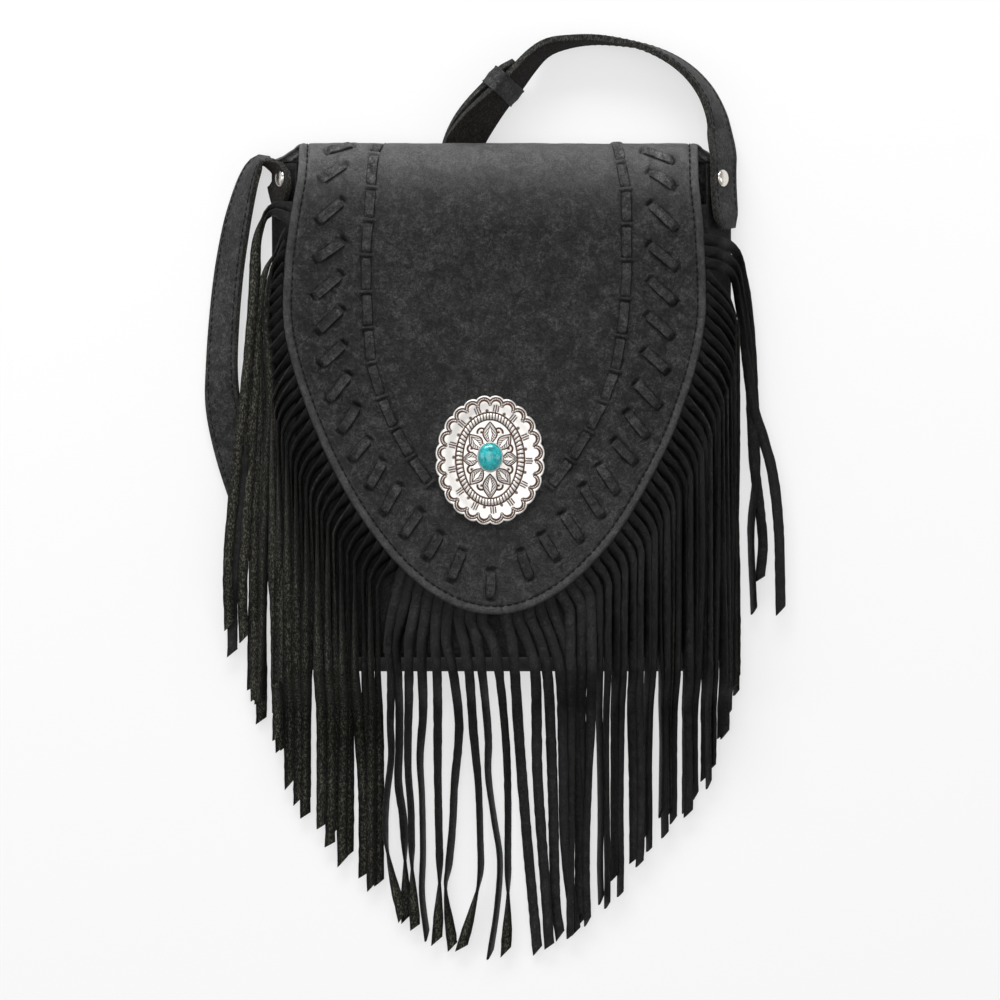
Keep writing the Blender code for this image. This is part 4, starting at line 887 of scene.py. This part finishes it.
# Ways of the loose strands below the bag, from the photograph
LOOSE = [
    [(388, 640), (391, 672), (389, 722), (390, 759), (385, 804), (384, 837), (389, 871), (401, 922)],
    [(397, 640), (398, 677), (398, 745), (397, 787), (402, 823), (404, 871), (405, 925)],
    [(409, 640), (409, 672), (407, 731), (407, 773), (410, 815), (411, 871), (414, 933)],
    [(422, 640), (422, 672), (422, 717), (419, 761), (421, 801), (422, 857), (421, 899), (426, 941)],
    [(435, 640), (437, 672), (437, 717), (437, 773), (438, 829), (439, 871), (438, 913), (436, 947)],
    [(446, 640), (453, 672), (458, 717), (458, 745), (454, 787), (452, 829), (448, 871), (445, 896), (452, 953)],
    [(463, 640), (469, 672), (473, 733), (478, 787), (480, 843), (480, 879), (471, 919), (461, 954)],
    [(477, 640), (482, 672), (488, 739), (488, 778), (494, 823), (500, 865), (497, 913), (490, 960)],
    [(492, 640), (499, 672), (506, 745), (508, 801), (508, 857), (508, 913), (506, 958)],
    [(513, 650), (520, 750), (528, 850), (538, 957)],
    [(535, 670), (538, 780), (545, 880), (550, 952)],
    [(547, 670), (553, 780), (556, 900), (561, 942)],
    [(560, 670), (564, 760), (566, 850), (577, 937)],
    [(571, 670), (578, 780), (585, 925)],
]


def fringe_roots(side, top):
    """Roots of the strands along one side of the flap, with the outward way of each."""
    line = resample(right_edge[right_edge[:, 1] < top], STRAND_STEP)
    out = -right_of(ways_of(line))
    root = line - out * 1.2
    return root * (side, 1), out * (side, 1)


def hang(root, out, side, tips, jitter, share):
    """The plan of a strand that leaves the flap's edge and then hangs down to its tip."""
    tips = np.array([spot(*p) for p in tips])
    tips = tips[np.argsort(tips[:, 0])]
    spread = 14.5 - 7.0 * share if side < 0 else 17.5 - 13.0 * share
    x = root[0] + side * spread + jitter
    bottom = np.interp(x, tips[:, 0], tips[:, 1])
    turn = root[1] - 8 - spread * 1.1
    ahead = unit(out + (0, -0.95))
    middle = (x, turn + spread * 0.55 + 6)
    bend = bezier(root, root + ahead * (2.5 + spread * 0.35), middle, (x, turn), np.linspace(0, 1, 7))
    return bend, x, turn, bottom


# Where daylight shows between the strands at the left, below the bag
GAPS = [spot(px, 0)[0] for px in (266.5, 311, 354)]


def parted(x):
    """x moved aside, so that a flat strand there leaves the gaps open."""
    for gap in GAPS:
        if abs(x - gap) < 4.0:
            return gap + (4.1 if x > gap else -4.1)
    return x


def build_fringe(side, top, tips, name):
    pile = Pile()
    roots, outs = fringe_roots(side, top)
    count = len(roots) - 1
    firsts = LEFT_FIRST if side < 0 else RIGHT_FIRST
    for i in range(count):
        rng = np.random.RandomState(100 * (side + 2) + i)
        slant = rng.uniform(1.4, 3.0)
        if i < len(firsts):
            plan, roll, high = firsts[i]
            way = [roots[i], *[spot(*p) for p in plan]]
            strand(pile, way, roll, [(0, 0), (20, high * 0.6), (60, high), (170, high * 0.7)], slant, i)
            continue
        share = i / count
        jitter = rng.uniform(-1.0, 1.0) * (1.4 if share < 0.3 else 0.5)
        bend, x, turn, bottom = hang(roots[i], outs[i], side, tips, jitter, share)
        bottom += rng.uniform(-1.5, 1.5) + (rng.uniform(5, 13) if i % 2 else 0)
        drift = rng.uniform(-1.0, 1.0)
        low_x = parted(x) if side < 0 else x + (1.5 - i % 4) * -1.0
        way = [*bend]
        for t, low_share in ((0.3, 0.0), (0.5, 0.4), (0.72, 1.0), (0.88, 1.0)):
            way.append((x + (low_x - x) * low_share + drift * 0.6 * sin(t * 5 + i), turn + (bottom - turn) * t))
        way.append((low_x + drift * 0.2, bottom))
        from_centre = count - 1 - i
        loose = LOOSE[8 - from_centre] if side < 0 and from_centre < 9 else None
        loose = LOOSE[9 + from_centre] if side > 0 and from_centre < 5 else loose
        if loose:
            way = [roots[i], roots[i] + outs[i] * 3 + (0, -3), *[spot(*p) for p in loose]]
        layer = (i * 2) % 3 if share < 0.3 else 1.9 * ((i + 1) % 2)
        if side < 0:
            early, rest, low = (58, 130, 160) if share < 0.3 else (50, 98, 164) if share < 0.8 else (12, 20, 60)
            rest, low = rest + rng.uniform(-12, 12), low + rng.uniform(-20, 22)
            sign = 1
        else:
            early, rest, low = (40, 58, 52) if share < 0.6 else (26, 44, 46) if share < 0.8 else (8, 20, 40)
            rest, low = rest + rng.uniform(-20, 20), low + rng.uniform(-26, 20)
            sign = -1
        if loose:
            rest, low = rng.uniform(30, 48), rng.uniform(48, 66)
            if side > 0:
                rest, low = rest * 0.3, low * 0.35
        start = [(5, early), (11, (early + rest) / 2), (34, rest)]
        if side < 0 and share < 0.3:
            start = [(5, 40), (14, 48), (22, 62), (30, 110), (40, rest)]
        if loose:
            early, start = 4, [(6, 4), (15, 9), (36, rest)]
        roll = [(0, 0.35 * early), *start, (75, (rest + low) / 2), (100, low), (135, low)]
        end = 172 + rng.uniform(-10, 10) if side < 0 and i % 4 != 1 else low
        roll += [(170, end if loose else low)]
        roll = [(reach, angle * sign) for reach, angle in roll]
        lift = [(0, 0), (12, 0.5), (40, 0.3 + 1.3 * layer), (170, 0.2 + 1.1 * layer)]
        strand(pile, way, roll, lift, slant, i)
    made = pile.make(f"{name}_strands", [GRAIN, FLESH, EDGE])
    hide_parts(name)
    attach(made, "flap")


build_fringe(-1, 147, LEFT_TIPS, "fringe_left")
build_fringe(1, 131, RIGHT_TIPS, "fringe_right")


# Body: the pocket's front, its gusset and the back

BACK_HALF = 116.0
BACK_BOTTOM = -87.0


def pocket(half_width, bottom, corner, top):
    """The pocket's outline as an open line from the top right to the top left."""
    turn = np.linspace(0, pi / 2, 10)
    right = [(half_width, top), (half_width, bottom + corner)]
    right += [(half_width - corner * (1 - cos(a)), bottom + corner * (1 - sin(a))) for a in turn[1:]]
    line = right + [(-x, y) for x, y in reversed(right)]
    line = resample(line, 3.0)
    line[:, 0] += SHIFT
    return line


def back_level(y):
    return 3.9 + 6.5 * share_of(y, 125, 171)


def front_sink(y):
    """How far the gusset's front edge sinks toward the top."""
    return -4.5 * share_of(y, 157, 169)


def build_gusset():
    """The side strip of the pocket, drawn in along its middle and creased."""
    top = 169.0
    back = pocket(BACK_HALF, BACK_BOTTOM, 26, top)
    front = pocket(FRONT_HALF, FRONT_BOTTOM, 22, top)
    front = resample(front, 1.0)
    front = front[np.linspace(0, len(front) - 1, len(back)).round().astype(int)]
    inside = right_of(ways_of(back))
    rows = []
    for t in np.linspace(0, 1, 12):
        plan = back * (1 - t) + front * t
        low = back_level(back[:, 1]) + 1.6
        high = 21.9 + front_sink(front[:, 1])
        z = low * (1 - t) + high * t
        crease = (1.6 + 0.8 * waves(np.arange(len(back)) * 3.0, 0 * z, 40, 21)) * sin(t * pi)
        plan = plan + inside * crease[:, None] + inside * 0.3
        rows.append(np.column_stack([plan, z]))
    points = np.concatenate(rows)
    # The gusset takes the darker leather as painted shade.
    made = mesh_object("gusset_leather", points, grid_faces(12, len(back)), SHADED_LEATHER)
    thick = made.modifiers.new("thickness", "SOLIDIFY")
    thick.thickness = 1.3 * MM
    thick.offset = 0
    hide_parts("gusset")
    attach(made, "body")


def panel(name, outline, height, look, node):
    """A sheet inside an outline whose height is a function of (x, y) and depth from the edge."""
    closed = resample(np.concatenate([outline, outline[:1]]), 2.0)[:-1]
    after, before = np.roll(closed, -1, 0), np.roll(closed, 1, 0)
    side = right_of(units(after - before))
    if np.dot(closed[:, 0], after[:, 1]) >= np.dot(closed[:, 1], after[:, 0]):
        side = -side
    rings = [closed + side * d for d in (0, 0.6, 1.4, 2.4, 3.2, 4.2)]
    low, high = closed.min(0), closed.max(0)
    xs, ys = np.meshgrid(*(np.arange(low[k] + 6, high[k] - 5, 5.0) for k in (0, 1)))
    field = np.stack([xs.ravel(), ys.ravel()], 1)
    field = field[distance_to(closed, field) > 5.5]
    places, faces = fill(np.concatenate([*rings, field]), len(closed))
    z = height(places[:, 0], places[:, 1], distance_to(closed, places))
    made = mesh_object(name, np.column_stack([places, z]), faces, look)
    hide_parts(node)
    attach(made, "body")
    return made


def build_front():
    outline = pocket(FRONT_HALF, FRONT_BOTTOM, 22, 148.0)

    def height(x, y, depth):
        puff = 0.9 * np.clip(depth / 40, 0, 1) ** 0.7 + 0.3 * waves(x, y, 80, 31) * np.clip(depth / 20, 0, 1)
        return 22.6 + puff - 0.9 * np.exp(-((depth / 1.2) ** 2)) - 0.35 * np.exp(-(((depth - 3.2) / 0.7) ** 2))

    # The front takes the darker leather as painted shade.
    made = panel("front_leather", outline, height, SHADED_LEATHER, "front_panel")
    thicken(made, 1.3, False)


def build_back():
    outline = pocket(BACK_HALF, BACK_BOTTOM, 26, 171.0)

    def height(x, y, depth):
        rise = back_level(y) + 0.25 * (waves(x, y, 90, 33) + 1) * np.clip(depth / 20, 0, 1)
        return rise + 0.9 * np.exp(-((depth / 1.2) ** 2)) + 0.35 * np.exp(-(((depth - 3.2) / 0.7) ** 2))

    made = panel("back_leather", outline, height, LEATHER, "back_panel")
    thicken(made, 1.3, True)


build_gusset()
build_front()
build_back()


# Strap: its ways as (x, y, lean in degrees)

LEFT_WAY = [
    (-113.4, 168, 84), (-116.6, 171.5, 76), (-120.5, 169, 68), (-124.2, 161.5, 60),
    (-127.6, 150, 53), (-130.8, 136, 47), (-134.3, 114.5, 43), (-136.8, 89.5, 40),
    (-138, 66, 36), (-137.4, 48, 24), (-133.8, 30, 12),
    (-128, 10, 3), (-120, -11, 0), (-109, -32, 0), (-95, -50, 0), (-77, -62, 0),
    (-58, -64, 0), (-40, -56, 0), (-28, -40, 0), (-22, -18, 0), (-20, 10, 0),
    (-19.5, 60, 0), (-19.5, 120, 0),
]
DOUBLED_WAY = [
    (-19.5, 150, 0), (-19, 165, 0), (-17.5, 177, 8), (-15, 184, 20), (-11.5, 191, 33),
    (-6.5, 198.5, 46), (-0.5, 206, 56), (6.5, 214, 62),
]
SINGLE_WAY = [
    (17, 223, 68), (27, 228, 76), (38, 231, 84), (50, 232, 89), (62, 231, 93),
    (75, 228.5, 98), (88, 223, 104), (98.5, 215.5, 109), (106.5, 206, 114), (111.5, 195.5, 119),
    (114, 185, 125),
]
STRAP_HALF = 9.5
STRAP_THICK = 3.3


def way_stations(route, lift):
    """Centres and width ways of the strap along a plan of (x, y, lean), as in the solids."""
    places, acrosses = [], []
    for i, (x, y, lean) in enumerate(route):
        before, after = route[max(i - 1, 0)], route[min(i + 1, len(route) - 1)]
        ahead = unit(np.array([after[0] - before[0], after[1] - before[1], 0.0]))
        turn = radians(lean)
        left = np.array([-ahead[1], ahead[0], 0.0])
        level = STRAP_HALF * sin(turn) + STRAP_THICK / 2 * abs(cos(turn))
        level += 3.5 * min(max((36 - hypot(x - 3, y - 210)) / 24, 0.0), 1.0)
        across = left * cos(turn) + np.array([0, 0, sin(turn)])
        places.append(np.array([x, y, level]) + np.cross(ahead, across) * lift[i])
        acrosses.append(across)
    return places, acrosses


def gusset_seat(side, y):
    """A place on the gusset, with the ways out of it and up along it."""
    y_seat = min(y, 169.0)
    back = np.array([side * BACK_HALF + SHIFT, y_seat, float(back_level(y_seat)) + 1.9])
    front = np.array([side * FRONT_HALF + SHIFT, y_seat, 21.6 + front_sink(y_seat)])
    rise = unit(front - back)
    out = np.array([side * rise[2], 0.0, -side * rise[0]])
    return (back + front) / 2 - rise * 2.8, out, rise


def strap(name, places, acrosses, point_start, point_end, node, outer_up):
    """A stitched strap with rounded edges. Its outer face is the one that outer_up names."""
    stations = smooth_line(np.column_stack([np.array(places), np.array(acrosses)]), 3.0)
    centres, acrosses = stations[:, :3], stations[:, 3:]
    ahead = ways_of(centres)
    acrosses = units(acrosses - ahead * (acrosses * ahead).sum(1)[:, None])
    faces_way = np.cross(ahead, acrosses) * outer_up
    h, t = STRAP_HALF, STRAP_THICK / 2
    section = [(-h, -0.85 * t), (-h, 0.82 * t), (-h + 0.5, 0.98 * t), (-h + 2.2, 0.8 * t), (-h + 3.0, 0.97 * t),
               (0, 1.05 * t), (h - 3.0, 0.97 * t), (h - 2.2, 0.8 * t), (h - 0.5, 0.98 * t), (h, 0.82 * t),
               (h, -0.85 * t), (h - 0.4, -0.98 * t), (0, -0.98 * t), (-h + 0.4, -0.98 * t)]
    points = []
    run = run_of(centres)
    for k in range(len(centres)):
        near = min(run[k] / 7.0 if point_start else 1.0, (run[-1] - run[k]) / 7.0 if point_end else 1.0, 1.0)
        narrow = 0.6 + 0.4 * max(near, 0.0)
        for q, z in section:
            points.append(centres[k] + acrosses[k] * q * narrow + faces_way[k] * z)
    looks = [2, 0, 0, 0, 0, 0, 0, 0, 0, 2, 2, 1, 1, 2] * (len(centres) - 1) + [2, 2]
    pile = Pile()
    pile.add(points, tube_faces(len(centres), len(section)), looks)
    made = pile.make(name, [STRAP_LEATHER, BROWN, STRAP_EDGE])
    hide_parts(node)
    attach(made, "body")
    thread = Pile()
    for sign in (-1, 1):
        for face in (1, -1):
            line = centres + acrosses * sign * (h - 2.2) + faces_way * face * 0.86 * t
            steps = resample(np.column_stack([line, faces_way * face]), 3.6)[3:-3]
            for a, b in zip(steps, steps[1:]):
                gap = (b[:3] - a[:3]) * 0.12
                capsule(thread, a[:3] + gap, b[:3] - gap, unit(a[3:]), 0.34)
    sewn = thread.make(name + "_stitching", THREAD_AND_LACE_SHADE)
    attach(sewn, "body")


def build_straps():
    stand_off = 1.2 + STRAP_THICK / 2

    def tab(side, y):
        seat = gusset_seat(side, y)[0]
        _, out, rise = gusset_seat(side, min(y, 150.0))
        point = seat + out * stand_off
        return np.array([point[0], y, point[2]]), rise

    tabs = [(p + (1.6, 0, 0), rise * (0.6, 1, 1)) for p, rise in (tab(-1, y) for y in (148.5, 155, 161))]
    run = LEFT_WAY + DOUBLED_WAY + [(11.5, 219, 65)]
    places, acrosses = way_stations(run, [0.0] * len(run))
    all_places = [p for p, _ in tabs] + places
    all_acrosses = [a for _, a in tabs] + acrosses
    strap("strap_long_leather", all_places, all_acrosses, True, True, "strap_long", 1)
    flat, apart = STRAP_THICK + 0.3, STRAP_THICK + 2.2
    lift = [flat, flat] + [apart] * (len(DOUBLED_WAY) - 2) + [apart / 2] + [0.0] * (len(SINGLE_WAY) - 1)
    places, acrosses = way_stations(DOUBLED_WAY + SINGLE_WAY, lift)
    seats = ((172, 2.4), (166, 2.2), (160, 1.9), (154, 1.5), (146, 0.8), (136, -0.4))
    tabs = [(tab(1, y), back) for y, back in seats]
    tabs = [(p - (back, 0, 0), rise * (0.75, 1, 1)) for (p, rise), back in tabs]
    places += [p for p, _ in tabs]
    acrosses += [a for _, a in tabs]
    strap("strap_short_leather", places, acrosses, False, True, "strap_short", -1)


def build_keeper():
    """The leather loop round the doubled strap."""
    places, acrosses = way_stations(DOUBLED_WAY, [STRAP_THICK / 2 + 1.1] * len(DOUBLED_WAY))
    centre, across = places[6] + (places[7] - places[6]) * 0.45, acrosses[6]
    ahead = unit(places[7] - places[5])
    across = unit(across - ahead * float(across @ ahead))
    normal = np.cross(ahead, across)
    rows = []
    turns = np.linspace(0, 2 * pi, 48, endpoint=False)
    profile = ((-5.2, -0.2), (-5.4, 0.5), (-5.0, 1.1), (-3.9, 0.85), (0, 1.2),
               (3.9, 0.85), (5.0, 1.1), (5.4, 0.5), (5.2, -0.2))
    for along, grow in profile:
        c, q = np.cos(turns), np.sin(turns)
        x = np.sign(c) * np.abs(c) ** 0.3 * (STRAP_HALF + 0.5 + grow)
        z = np.sign(q) * np.abs(q) ** 0.45 * (STRAP_THICK + 1.2 + grow)
        rows.append(centre + ahead * along + x[:, None] * across + z[:, None] * normal)
    pile = Pile()
    pile.add(np.concatenate(rows), grid_faces(len(rows), 48, True))
    made = pile.make("keeper_loop", STRAP_LEATHER)
    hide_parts("strap_keeper")
    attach(made, "body")


def build_rivet(name, side, tilt, node):
    """A domed rivet cap; tilt is how far its face turns up, as a share of 1."""
    corners = np.array([nodes[node].matrix_world @ Vector(c) for c in nodes[node].bound_box]) / MM
    centre = corners.mean(0) + (side * 0.4, 0, 1.3)
    normal = np.array([side * (1 - tilt**2) ** 0.5, 0, tilt])
    across = np.array([-normal[2] * side, 0, normal[0] * side])
    turns = np.linspace(0, 2 * pi, 40, endpoint=False)
    circle = np.cos(turns)[:, None] * across + np.sin(turns)[:, None] * (0, 1, 0)
    dome = ((4.3, -1.2), (4.4, 0.1), (4.1, 0.75), (3.3, 1.15), (2.2, 1.4), (1.0, 1.5), (0.05, 1.52))
    rows = [centre + normal * high + radius * circle for radius, high in dome]
    pile = Pile()
    pile.add(np.concatenate(rows), tube_faces(len(rows), 40))
    made = pile.make(name, NICKEL)
    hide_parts(node)
    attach(made, "body")


build_straps()
build_keeper()
build_rivet("rivet_cap_left", -1, 0.5, "rivet_left")
build_rivet("rivet_cap_right", 1, 0.62, "rivet_right")


# Concho: a stamped oval plate, with a dark patina in everything that lies low

CONCHO = np.array([-2.2, 19.4])
PLATE_A, PLATE_B = 27.4, 32.4
LOBES = 24  # scallops round the plate
TICKS = 13  # groups of lines round the ring


def line_at(value, centre, width):
    """1 on a line of this width round centre, 0 off it."""
    return 1 - step_up(np.abs(value - centre), width * 0.62 - 0.1, width * 0.62 + 0.1)


def leaf(u, v, turn, reach, length, width):
    """One leaf of the rosette: its patina and its height."""
    p = u * cos(turn) + v * sin(turn) - reach
    q = -u * sin(turn) + v * cos(turn)
    t = np.clip(p / (length / 2), -1, 1)
    edge = width / 2 * (1 - np.abs(t) ** 1.7) * (1 - 0.12 * t)
    gap = edge - np.abs(q)
    inside = step_up(gap, -0.05, 0.12) * (np.abs(p) < length / 2)
    outline = line_at(gap, -0.22, 0.62) * (np.abs(p) < length / 2 + 0.4)
    seam = line_at(gap, 0.55, 0.24) * inside
    heart = np.clip(1 - np.abs(t + 0.1) * 1.5, 0, 1) ** 0.7 * width * 0.15
    vein = step_up(heart - np.abs(q), -0.1, 0.1)
    ring = line_at(np.abs(q) - heart, 0.16, 0.26) * inside * (np.abs(t) < 0.75)
    hatch = 0.5 + 0.5 * np.sin((p * 0.75 + np.abs(q)) * 2 * pi / 1.15)
    hatch = step_up(hatch, 0.45, 0.7) * inside * (1 - vein) * (gap > 0.6)
    dark = np.clip(1.2 * outline + 0.6 * seam + 0.9 * ring + hatch, 0, 1)
    return dark, inside


def concho_relief(x, y, outer):
    """Patina and height over the plate's face at (x, y) from its centre."""
    dark, high = np.zeros_like(x), np.zeros_like(x)
    centre_a, centre_b = PLATE_A - 4.7, PLATE_B - 4.7
    near, swing = np.full_like(x, 99.0), np.zeros_like(x)
    for turn in (np.arange(LOBES) + 0.5) * 2 * pi / LOBES + pi / 2:
        cx, cy = centre_a * cos(turn), centre_b * sin(turn)
        size = hypot(cx / centre_a**2, cy / centre_b**2)
        nx, ny = cx / centre_a**2 / size, cy / centre_b**2 / size
        dx, dy = x - cx, y - cy
        reach = np.hypot(dx, dy)
        ahead_of = dx * nx + dy * ny
        ok = (ahead_of > -0.35) & (reach < near)
        near = np.where(ok, reach, near)
        swing = np.where(ok, np.arctan2(-dx * ny + dy * nx, ahead_of), swing)
    belly = np.clip(np.cos(swing * 0.95), 0, 1)
    dark += line_at(near, 3.62, 0.55) + line_at(near, 2.35, 0.3 + 0.55 * belly)
    rope = step_up(0.5 + 0.5 * np.sin(swing * 3.2 * 2 * pi / 0.95), 0.5, 0.9)
    dark += line_at(near, 3.0, 0.7) * 0.8 * rope
    high += 0.18 * line_at(near, 2.4, 0.4) - 0.22 * line_at(near, 3.2, 1.1)
    for turn in np.arange(LOBES) * 2 * pi / LOBES + pi / 2:
        dot = np.hypot(x - (centre_a + 0.1) * cos(turn), y - (centre_b + 0.1) * sin(turn))
        dark += 0.9 * line_at(dot, 0.62, 0.3)
        high += 0.15 * line_at(dot, 0.0, 0.8)
    v = y - 0.5
    ring_a, ring_b = 15.4, 21.5
    angle = np.arctan2(v / ring_b, x / ring_a)
    size = np.hypot(x / ring_a, v / ring_b)
    span = (size - 1) * np.hypot(ring_a * np.cos(angle), ring_b * np.sin(angle))
    band = 1 - step_up(np.abs(span), 1.35, 1.6)
    ribs = 0.5 + 0.5 * np.sin(angle * 64)
    dark += band * step_up(ribs, 0.55, 0.85)
    dark += line_at(span, 1.8, 0.62) + line_at(span, -1.8, 0.6)
    high += 0.75 * band * np.cos(np.clip(span / 1.6, -1, 1) * pi / 2) * (0.78 + 0.3 * (1 - ribs))
    for k in range(TICKS):
        for offset, kind in ((0.0, "ticks"), (pi / TICKS, "dot")):
            turn = radians(81.0) + k * 2 * pi / TICKS + offset
            out = 4.0 if kind == "ticks" else 2.75
            cx, cy = (ring_a + out) * cos(turn), (ring_b + out) * sin(turn)
            way = atan2(cy / ring_b**1.2, cx / ring_a**1.2)
            p = (x - cx) * cos(way) + (v - cy) * sin(way)
            q = -(x - cx) * sin(way) + (v - cy) * cos(way)
            if kind == "ticks":
                for row, length in ((-1.15, 1.6), (0.0, 2.0), (1.15, 1.6)):
                    dark += line_at(q, row, 0.5) * (1 - step_up(np.abs(p), length - 0.15, length + 0.15))
            else:
                dark += 0.9 * line_at(np.hypot(p, q), 0.0, 1.25)
    inside = span < -2.25
    leaves = [(pi / 2, 13.0, 10.6, 6.6), (-pi / 2, 13.6, 11.6, 6.6), (0, 9.7, 7.6, 6.2), (pi, 9.7, 7.6, 6.2)]
    leaves += [(radians(t), 11.0, 9.6, 6.0) for t in (50, 130, 232, 308)]
    bud = np.zeros_like(x)
    for sx in (-1, 1):
        for sy in (-1, 1):
            for px, py in ((4.3, 13.3), (9.2, 5.2)):
                dot = np.hypot(x - sx * px, v - sy * py)
                away = step_up((x - sx * px) * sx * px + (v - sy * py) * sy * py, -4.0, 3.0)
                bud = np.maximum(bud, np.maximum(line_at(dot, 0, 0.95), line_at(dot, 2.05, 0.8) * away))
                high += 0.12 * line_at(dot, 1.2, 0.5) * inside
    petals, lifted = np.zeros_like(x), np.zeros_like(x)
    for turn, reach, length, width in leaves:
        one, body = leaf(x, v, turn, reach, length, width)
        petals = np.where(body > 0.5, one, np.maximum(petals, one))
        lifted = np.maximum(lifted, body)
    dark = np.where(inside, np.where(lifted > 0.5, petals, np.maximum(petals, bud)), dark)
    high += 0.35 * lifted * inside
    dark = np.clip(dark, 0, 1)
    high -= 0.16 * dark
    dish = 0.9 * step_up(span, 1.6, 9.0) + 0.7 * (1 - step_up(size, 0.2, 0.95))
    return dark, high + dish - 0.5 * (1 - step_up(outer, 0.0, 0.5))


def build_concho():
    turns = np.linspace(0, 2 * pi, LOBES * 28, endpoint=False)
    shares = np.linspace(0.19, 1.0, 126)
    arc = (turns - pi / 2) / (2 * pi / LOBES)
    notch = 1.15 * (1 - np.sqrt(1 - (2 * np.abs(arc - np.floor(arc) - 0.5)) ** 2 * 0.85)) / 0.61
    away = np.outer(shares**3, notch)
    x = np.outer(shares * PLATE_A, np.cos(turns)) - away * np.cos(turns)
    y = np.outer(shares * PLATE_B, np.sin(turns)) - away * np.sin(turns)
    outer = np.outer(1 - shares, np.full(len(turns), 30.0))
    dark, high = concho_relief(x, y, outer)
    z = 32.15 + high
    face = np.stack([x + CONCHO[0], y + CONCHO[1], z], 2).reshape(-1, 3)
    rim_top = face[-len(turns):]
    under = rim_top.copy()
    under[:, 2] = 31.1
    centre = np.array([[CONCHO[0], CONCHO[1], 31.1]])
    count = len(turns)
    points = np.concatenate([face, under, centre])
    faces = grid_faces(len(shares) + 1, count, True)
    last = len(points) - 1
    faces += [(last - count + j, last, last - count + (j + 1) % count) for j in range(count)]
    made = mesh_object("concho_silver", points, faces, SILVER)
    outward(made)
    mark(made, "patina", np.concatenate([dark.ravel(), dark[-1] * 0 + 0.3, [0.3]]))
    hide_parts("concho_plate")
    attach(made, "flap")


def build_stone():
    centre = CONCHO + (0.0, 1.6)
    turns = np.linspace(0, 2 * pi, 64, endpoint=False)
    rows, a, b = [], 5.85, 6.85
    for t in np.linspace(0, 1, 16):
        reach = sin((1 - t) * pi / 2 * 0.995 + 0.005)
        swell = 1 + 0.012 * np.sin(turns * 3 + 1)
        z = np.full(64, 35.2 + 3.1 * cos((1 - t) * pi / 2))
        rows.append(np.stack([centre[0] + a * reach * swell * np.cos(turns),
                              centre[1] + b * reach * swell * np.sin(turns), z], 1))
    low = rows[0].copy()
    low[:, 2] = 33.4
    points = np.concatenate([low, *rows])
    pile = Pile()
    pile.add(points, tube_faces(17, 64))
    made = pile.make("turquoise_cabochon", TURQUOISE)
    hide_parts("turquoise_stone")
    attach(made, "flap")
    rows = []
    profile = ((0.95, 32.6), (1.0, 34.2), (0.75, 35.4), (0.35, 35.9), (0.02, 35.7), (-0.12, 35.0), (-0.12, 33.5))
    for reach, z in profile:
        grow = reach + 0.05 * np.sin(turns * 16) * (reach > 0.5)
        rows.append(np.stack([centre[0] + (a + grow * 0.75) * np.cos(turns),
                              centre[1] + (b + grow * 0.75) * np.sin(turns), np.full(64, z)], 1))
    pile = Pile()
    pile.add(np.concatenate(rows), tube_faces(7, 64))
    made = pile.make("bezel_ring", SILVER)
    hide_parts("concho_bezel")
    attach(made, "flap")


build_concho()
build_stone()


# Pieces that keep their solids

for name, look in (
    ("flap_lining", CLOTH), ("snap_socket", NICKEL), ("snap_stud", NICKEL),
    ("rivet_left_back", NICKEL),
    ("rivet_right_back", NICKEL), ("strap_rivet", NICKEL), ("concho_post", NICKEL),
):
    for slot in nodes[name].material_slots:
        slot.material = look
